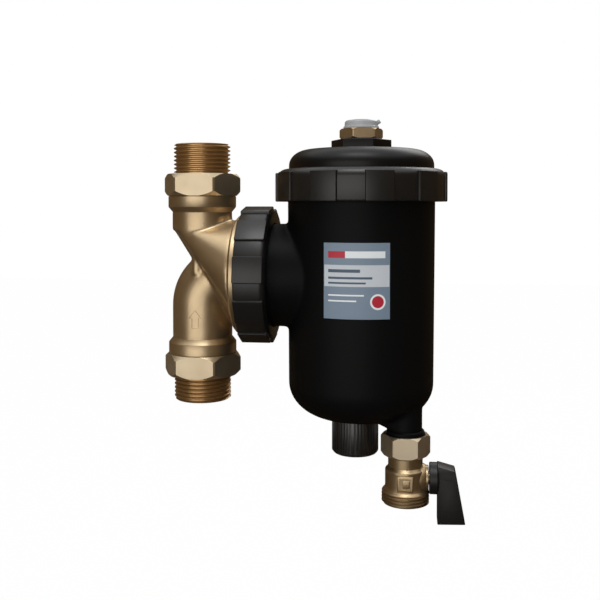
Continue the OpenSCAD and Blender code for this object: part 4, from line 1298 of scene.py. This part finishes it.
@dataclass
class Canister:
    """The black housing with its union neck, drain neck and magnet boss."""

    foot_r: float = 41.6
    top_r: float = 42.2
    bottom_z: float = -7.5
    bottom_across: float = 24.0
    bottom_up: float = 20.0
    rim_z: float = 129.5
    taper_top: float = 116.5
    bore_r: float = 37.9
    floor_z: float = -3.9
    bore_round: float = 14.4
    thread: Thread = Thread(44.4, 1.6, 3.0, 1.2)
    neck_r: float = 29.9
    neck_bore: float = 26.0
    neck_x: float = 35.4
    drain_r: float = 10.45
    drain_shank_r: float = 9.3
    drain_bore: float = 5.5
    drain_end: float = -19.7
    drain_collar_z: float = -10.6
    lobe_r: float = 10.0
    lobe_l: float = 13.0
    lobe_top: float = 8.0
    neck_groove: tuple[float, float] = (36.2, 38.4)
    boss_r: float = 11.5
    boss_end: float = -21.5
    pocket_r: float = 9.05
    grain: float = 0.9

    def skin(self) -> bpy.types.Object:
        """Melts body, neck and drain neck into one moulded skin."""
        centre = (AXES.housing_x, 0, 0)
        body = turned("body", [(0, self.bottom_z),
                               *bend_of(self.foot_r - self.bottom_across,
                                        self.bottom_z + self.bottom_up, self.bottom_across,
                                        self.bottom_up, -90, 0, 18),
                               (self.top_r, self.taper_top), (self.top_r, self.rim_z - 0.5),
                               (self.top_r - 0.5, self.rim_z), (0, self.rim_z)], 192)
        place(body, centre)
        neck = sideways(rod("neck", self.neck_r, self.neck_x - 2, AXES.housing_x, 144), AXES.union_z)
        shank = place(rod("shank", self.drain_shank_r, self.drain_collar_z - 2, 14),
                      (*AXES.drain, 0))
        lobe = self.lobe()
        merge(body, neck, shank, lobe)
        return melt(body, self.grain, 14)

    def lobe(self) -> bpy.types.Object:
        """Makes the web that carries the drain neck under the rounded bottom."""
        drain = Vector((*AXES.drain, 0))
        inward = (Vector((AXES.housing_x, 0, 0)) - drain).normalized()
        ends = ((self.drain_shank_r, 0.0, self.drain_collar_z),
                (self.lobe_r, self.lobe_l, self.bottom_z + 0.8))
        discs = [(radius, drain + inward * shift + Vector((0, 0, level)), False)
                 for radius, shift, foot in ends for level in (foot, self.lobe_top)]
        return stretched(discs, 48)

    def build(self) -> None:
        """Builds the housing."""
        piece = self.skin()
        here = (AXES.housing_x, 0, 0)
        face = sideways(turned("face", [(0, 20), (60, 20), (60, self.neck_x), (0, self.neck_x)]),
                        AXES.union_z)
        carve(piece, face)
        screw = place(self.thread.cut("screw", self.taper_top + 1.5, self.rim_z), here)
        collar = place(turned("collar", [(0, self.drain_end),
                                         (self.drain_r - 0.8, self.drain_end),
                                         (self.drain_r, self.drain_end + 0.8),
                                         (self.drain_r, self.drain_collar_z - 0.6),
                                         (self.drain_r - 0.6, self.drain_collar_z),
                                         (0, self.drain_collar_z)]), (*AXES.drain, 0))
        boss = place(rod("boss", self.boss_r, self.boss_end, self.floor_z), (*AXES.magnet, 0))
        carve(piece, screw, collar, boss, how="UNION")
        inner = self.floor_z + self.bore_round
        cavity = place(turned("cavity", [(0, self.floor_z),
                                         *bend_of(self.bore_r - self.bore_round, inner,
                                                  self.bore_round, self.bore_round, -90, 0, 12),
                                         (self.bore_r, self.rim_z - 0.8),
                                         (self.bore_r + 0.8, self.rim_z),
                                         (self.bore_r + 0.8, self.rim_z + 1),
                                         (0, self.rim_z + 1)], 144), here)
        mouth = sideways(rod("mouth", self.neck_bore, self.neck_x - 1, AXES.housing_x), AXES.union_z)
        drain = place(rod("drain", self.drain_bore, self.drain_end - 1, 12), (*AXES.drain, 0))
        pocket = place(rod("pocket", self.pocket_r, self.boss_end - 1, self.floor_z + 1),
                       (*AXES.magnet, 0))
        groove = sideways(turned("groove", tube_profile(self.neck_r + 1, self.neck_r - 1.5,
                                                        *self.neck_groove)), AXES.union_z)
        seal = place(rod("seal", self.pocket_r + 2, self.floor_z - 2.4, self.floor_z + 1),
                     (*AXES.magnet, 0))
        carve(piece, cavity, mouth, drain, pocket, groove, seal)
        piece.name = "housing_moulding"
        finish(piece, Stock.HOUSING, "filter_housing", "black_nylon", "housing", angle=38)


# ---- Lid and vent -----------------------------------------------------------

@dataclass
class Lid:
    """The domed lid with its hexagon."""

    side_r: float = 41.6
    flange_r: float = 44.2
    flange_t: float = 3.0
    rim_z: float = 129.5
    shoulder_z: float = 145.9
    crown_z: float = 147.1
    edge_across: float = 11.5
    edge_up: float = 9.0
    hexagon: float = 30.2
    hexagon_top: float = 151.5
    hexagon_turn: float = -3.5
    spigot_r: float = 37.6
    spigot_l: float = 9.0
    wall: float = 3.6
    shank_r: float = 8.35
    # Depth of the o-ring's groove, and its lower and upper edge below the rim
    groove_d: float = 2.45
    groove: tuple[float, float] = (6.0, 3.0)

    def dome(self, inset: float, drop: float, low: float) -> bpy.types.Object:
        """Turns the dome, or its hollow, which lies further in by an inset."""
        side = self.side_r - inset
        across, up = self.edge_across - inset * 0.5, self.edge_up - inset * 0.4
        return turned("dome", [(0, low), (side, low),
                               *bend_of(side - across, self.shoulder_z - drop - up, across, up,
                                        0, 84, 14),
                               (self.hexagon / 2, self.crown_z - drop),
                               (0, self.crown_z - drop)], 192)

    def build(self) -> None:
        """Builds the lid."""
        piece = self.dome(0, 0, self.rim_z)
        piece.name = "lid_moulding"
        flange = turned("flange", [(0, self.rim_z), (self.flange_r, self.rim_z),
                                   (self.flange_r, self.rim_z + self.flange_t - 0.4),
                                   (self.flange_r - 0.4, self.rim_z + self.flange_t),
                                   (0, self.rim_z + self.flange_t)], 144)
        groove_low, groove_high = (self.rim_z - depth for depth in self.groove)
        spigot = turned("spigot", [(0, self.rim_z - self.spigot_l),
                                   (self.spigot_r - 0.6, self.rim_z - self.spigot_l),
                                   (self.spigot_r, self.rim_z - self.spigot_l + 0.6),
                                   (self.spigot_r, groove_low),
                                   (self.spigot_r - self.groove_d, groove_low),
                                   (self.spigot_r - self.groove_d, groove_high),
                                   (self.spigot_r, groove_high),
                                   (self.spigot_r, self.rim_z), (0, self.rim_z)], 144)
        head = place(rod("head", self.hexagon / math.sqrt(3), self.shoulder_z - 4,
                         self.hexagon_top, 6), turn=(0, 0, 30 + self.hexagon_turn))
        bevel(head, 0.35)
        hollow = self.dome(self.wall + 2, self.wall, self.rim_z)
        throat = rod("throat", self.spigot_r - self.wall, self.rim_z - self.spigot_l - 1,
                     self.rim_z + 1)
        hole = rod("hole", self.shank_r, self.shoulder_z - 10, self.hexagon_top + 1)
        carve(piece, flange, spigot, head, how="UNION")
        carve(piece, hollow, throat, hole)
        place(piece, (AXES.housing_x, 0, 0))
        finish(piece, Stock.LID, "lid_unit", "black_nylon", "lid", angle=30)


@dataclass
class Vent:
    """The air vent's brass body and its translucent cap."""

    flats: float = 22.0
    turn: float = -9.0
    shank_r: float = 8.3
    stub_r: float = 7.5
    bore_r: float = 3.0
    cap_r: float = 10.3
    cap_wall: float = 2.5
    nib_r: float = 1.2
    nib_l: float = 3.6
    nib_tilt: float = 58.0

    def body(self) -> None:
        """Builds the brass body."""
        low, high = span("vent_body", 2)
        hex_low = span("vent_seal", 2)[1]
        hex_high = high - 2.4
        piece = hexagon("vent_brass", self.flats, hex_low, hex_high, 0.9,
                        self.flats / math.sqrt(3) - 0.15, self.turn + 21)
        shank = turned("shank", [(0, low), (self.shank_r - 0.8, low), (self.shank_r, low + 0.8),
                                 (self.shank_r, hex_low + 1), (0, hex_low + 1)])
        stub = rod("stub", self.stub_r, hex_low, high)
        carve(piece, shank, stub, how="UNION")
        carve(piece, rod("bore", self.bore_r, low - 1, high + 1))
        place(piece, (AXES.housing_x, 0, 0))
        finish(piece, Stock.VENT, "lid_unit", "brass", "vent_body", angle=28)

    def cap(self) -> None:
        """Builds the cap with its nib."""
        low, high = span("vent_cap", 2)
        r = self.cap_r
        piece = turned("vent_knob", [(0, low), (r - 0.3, low), (r, low + 0.3), (r - 0.1, low + 1.0),
                                     (r - 0.7, low + 1.5), (r - 0.8, low + 3.0),
                                     *bend_of(r - 2.6, high - 2.2, 1.8, 1.5, 0, 75, 5),
                                     (r - 4.6, high - 0.35), (0, high)], 96)
        nib = place(rod("nib", self.nib_r, 0, self.nib_l, 24), (r - 2.6, 0, high - 2.98),
                    (0, self.nib_tilt, 0))
        bevel(nib, 0.3)
        carve(piece, nib, how="UNION")
        stub_top = low + 2.4 + 0.6
        carve(piece, rod("hollow", r - self.cap_wall, low - 1, stub_top))
        place(piece, (AXES.housing_x, 0, 0))
        finish(piece, Stock.CAP, "vent_knob", "vent_plastic", "vent_cap", angle=40)


# ---- Magnet -----------------------------------------------------------------

@dataclass
class MagnetCap:
    """The ribbed cap under the housing."""

    radius: float = 13.1
    rib: float = 0.45
    bore_r: float = 11.8
    floor_t: float = 3.0
    round: float = 1.6
    # Width of each rib in degrees, in the order in which they repeat
    rib_angles: tuple[float, ...] = (4.5, 9.0, 4.5, 4.5)
    gap_angle: float = 3.5

    def build(self) -> None:
        """Builds the cap with ribs of mixed width."""
        low, high = span("magnet_cap", 2)
        piece = turned("magnet_knob", [(0, low), *bend_of(self.radius - self.round, low + self.round,
                                                          self.round, self.round, -90, 0, 5),
                                       (self.radius, high - 0.4), (self.radius - 0.4, high),
                                       (0, high)], 144)
        at = 0.0
        number = 0
        while at < 360.0 - self.gap_angle:
            wide = self.rib_angles[number % len(self.rib_angles)]
            half = math.radians(wide) * self.radius / 2
            rib = block("rib", (self.radius - 1.5, -half, low + 1.4),
                        (self.radius + self.rib, half, high - 0.6))
            bevel(rib, 0.3, 2)
            place(rib, turn=(0, 0, at + wide / 2))
            carve(piece, rib, how="UNION")
            at += wide + self.gap_angle
            number += 1
        carve(piece, rod("bore", self.bore_r, low + self.floor_t, high + 1))
        place(piece, (*AXES.magnet, 0))
        finish(piece, Stock.KNOB, "magnet_knob", "black_nylon", "magnet_cap", angle=30)


# ---- Drain ------------------------------------------------------------------

@dataclass
class Drain:
    """The drain's union nut, ball valve body and lever."""

    nut_flats: float = 24.0
    nut_bore: float = 10.75
    nut_lip: float = 8.4
    lip_t: float = 1.6
    body_r: float = 11.25
    waist_r: float = 9.6
    tail_r: float = 8.1
    thread: Thread = Thread(13.22, 1.16, 1.814, 0.7)
    thread_l: float = 6.0
    boss_r: float = 7.0
    boss_x: float = 12.8
    hub_r: float = 8.7
    hub_x: float = 13.2
    hub_w: float = 4.4
    blade_w: float = 12.0
    blade_top: float = 9.7
    blade_tip: float = 15.2
    reach: float = 24.1
    ball_bore: float = 8.55
    way_r: float = 4.5
    stem_r: float = 3.58
    seal_r: float = 4.9
    tail_flange_r: float = 10.45
    tail_flange_t: float = 2.8
    hub_socket_r: float = 3.55
    screw_hole_r: float = 2.7
    # Half width of the raised pad, of its recess, and both sides of the tablet in it
    pad_w: float = 4.4
    recess_w: float = 3.2
    tablet_x: tuple[float, float] = (-1.5, 2.7)

    def nut(self) -> None:
        """Builds the union nut."""
        low, high = span("drain_nut", 2)
        piece = hexagon("drain_union_nut", self.nut_flats, low, high, 1.5,
                        self.nut_flats / math.sqrt(3) - 0.1)
        bore = turned("bore", [(0, low - 1), (self.nut_lip, low - 1), (self.nut_lip, low + self.lip_t),
                               (self.nut_bore, low + self.lip_t), (self.nut_bore, high - 0.5),
                               (self.nut_bore + 0.5, high), (self.nut_bore + 0.5, high + 1),
                               (0, high + 1)])
        carve(piece, bore)
        place(piece, (*AXES.drain, 0))
        finish(piece, Stock.NUT, "drain_union", "brass", "drain_nut", angle=28)

    def valve(self) -> None:
        """Builds the valve's body."""
        low, high = span("drain_valve_body", 2)
        nut_low = span("drain_nut", 2)[0]
        stem = AXES.stem_z
        thread_top = low + self.thread_l
        root = self.thread.radius - self.thread.depth
        r = self.body_r
        profile = [(0, low + 1), (root - 0.2, low + 1), (root - 0.2, thread_top - 0.3),
                   (self.thread.radius - 0.5, thread_top - 0.1),
                   (self.thread.radius - 0.1, thread_top + 0.5),
                   *bend_of(r + 2.4, thread_top + 3.9, 2.4, 3.0, 246, 180, 6),
                   (r, stem + 3.6),
                   *bend_of(r - 1.0, stem + 4.4, 1.0, 1.0, 0, 60, 4),
                   (self.waist_r, stem + 6.6), (self.waist_r, nut_low - 1.2),
                   (self.waist_r - 0.4, nut_low - 0.6), (self.waist_r - 0.4, nut_low - 0.3),
                   (self.tail_r, nut_low - 0.3), (self.tail_r, high - self.tail_flange_t),
                   (self.tail_flange_r, high - self.tail_flange_t), (self.tail_flange_r, high),
                   (0, high)]
        piece = turned("drain_valve_casting", profile, 144)
        screw = self.thread.cut("screw", low, thread_top, upwards=False)
        boss = turned("boss", [(0, 6), (self.boss_r + 1.4, 6), (self.boss_r + 0.8, r - 1),
                               (self.boss_r, r + 0.2), (self.boss_r, self.boss_x - 0.4),
                               (self.boss_r - 0.4, self.boss_x), (0, self.boss_x)])
        sideways(boss, stem)
        pad = block("pad", (-self.pad_w, -r - 0.35, stem - 5.2), (self.pad_w, -6, stem + 3.4))
        bevel(pad, 0.5)
        recess = block("recess", (-self.recess_w, -r - 2, stem - 4.0),
                       (self.recess_w, -r + 0.05, stem + 2.2))
        carve(pad, recess)
        left, right = self.tablet_x
        tablet = block("tablet", (left, -r - 0.1, stem - 3.2), (right, -6, stem + 1.6))
        bevel(tablet, 0.4)
        carve(piece, screw, boss, pad, tablet, how="UNION", solver="EXACT")
        for tool in (rod("cavity", self.ball_bore, low - 1, stem + 8.2),
                     rod("way", self.way_r, stem, high + 1),
                     sideways(rod("stem_hole", self.stem_r, 0, self.boss_x + 1, 48), stem),
                     sideways(rod("o_ring_seat", self.seal_r, self.boss_x - 3.2, self.boss_x - 1.0,
                                  48), stem)):
            carve(piece, tool)
        place(piece, (*AXES.drain, 0))
        finish(piece, Stock.VALVE, "drain_valve", "brass", "drain_valve_body", angle=30)

    def lever(self) -> None:
        """Builds the lever with its hub and blade."""
        stem = AXES.stem_z
        top, tip = stem + self.hub_r, stem - self.reach
        x = self.hub_x + self.hub_w
        outline = [(x, tip), (x + self.blade_tip, tip + 0.6), (x + self.blade_top + 0.3, top - 4.2),
                   (x + self.blade_top - 0.2, top - 3.0), (x, top - 0.6)]
        half = self.blade_w / 2
        piece = slab("lever_moulding", outline, -half, half)
        bevel(piece, 0.5)
        field = [(x + 0.6, tip + 0.9), (x + self.blade_tip - 0.9, tip + 1.4),
                 (x + self.blade_top - 0.6, stem + 0.9), (x + 0.6, stem + 0.9)]
        plate = slab("plate", field, -half - 0.25, -half + 2.75)
        bevel(plate, 0.15, 2)
        hub = turned("hub", [(0, self.hub_x), (self.hub_r - 0.4, self.hub_x),
                             (self.hub_r, self.hub_x + 0.4), (self.hub_r, x - 0.2),
                             (self.hub_r - 1.2, x + 0.8), (0, x + 0.8)])
        sideways(hub, stem)
        socket = sideways(rod("socket", self.hub_socket_r, self.hub_x - 1, x + 1, 48), stem)
        hole = sideways(rod("hole", self.screw_hole_r, x + 0.9, x + 40, 48), stem)
        carve(piece, hub, plate, how="UNION", solver="EXACT")
        carve(piece, socket, hole)
        place(piece, (*AXES.drain, 0))
        finish(piece, Stock.LEVER, "drain_handle", "black_nylon", "drain_lever", angle=30)

    def build(self) -> None:
        """Builds nut, valve and lever."""
        self.nut()
        self.valve()
        self.lever()


def dress_nodes() -> None:
    """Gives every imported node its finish."""
    for stock, names in NODE_STOCK.items():
        for name in names:
            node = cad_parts[name]
            material = stock.make()
            if not node.material_slots:
                node.data.materials.append(material)
            for slot in node.material_slots:
                slot.material = material


def main() -> None:
    """Builds the studio and all pieces."""
    logging.basicConfig(level=logging.INFO, format="%(name)s: %(message)s")
    Studio().build()
    dress_nodes()
    Nipple("upper_nipple", upwards=True).build()
    Nipple("lower_nipple", upwards=False).build()
    Casting().build()
    UNION_RING.build((span("union_ring", 0)[0], 0, AXES.union_z), (0, 90, 0))
    LID_RING.build((AXES.housing_x, 0, span("lid_ring", 2)[0]), (0, 0, 0))
    Canister().build()
    Lid().build()
    vent = Vent()
    vent.body()
    vent.cap()
    MagnetCap().build()
    Drain().build()


if __name__ == "__main__":
    main()
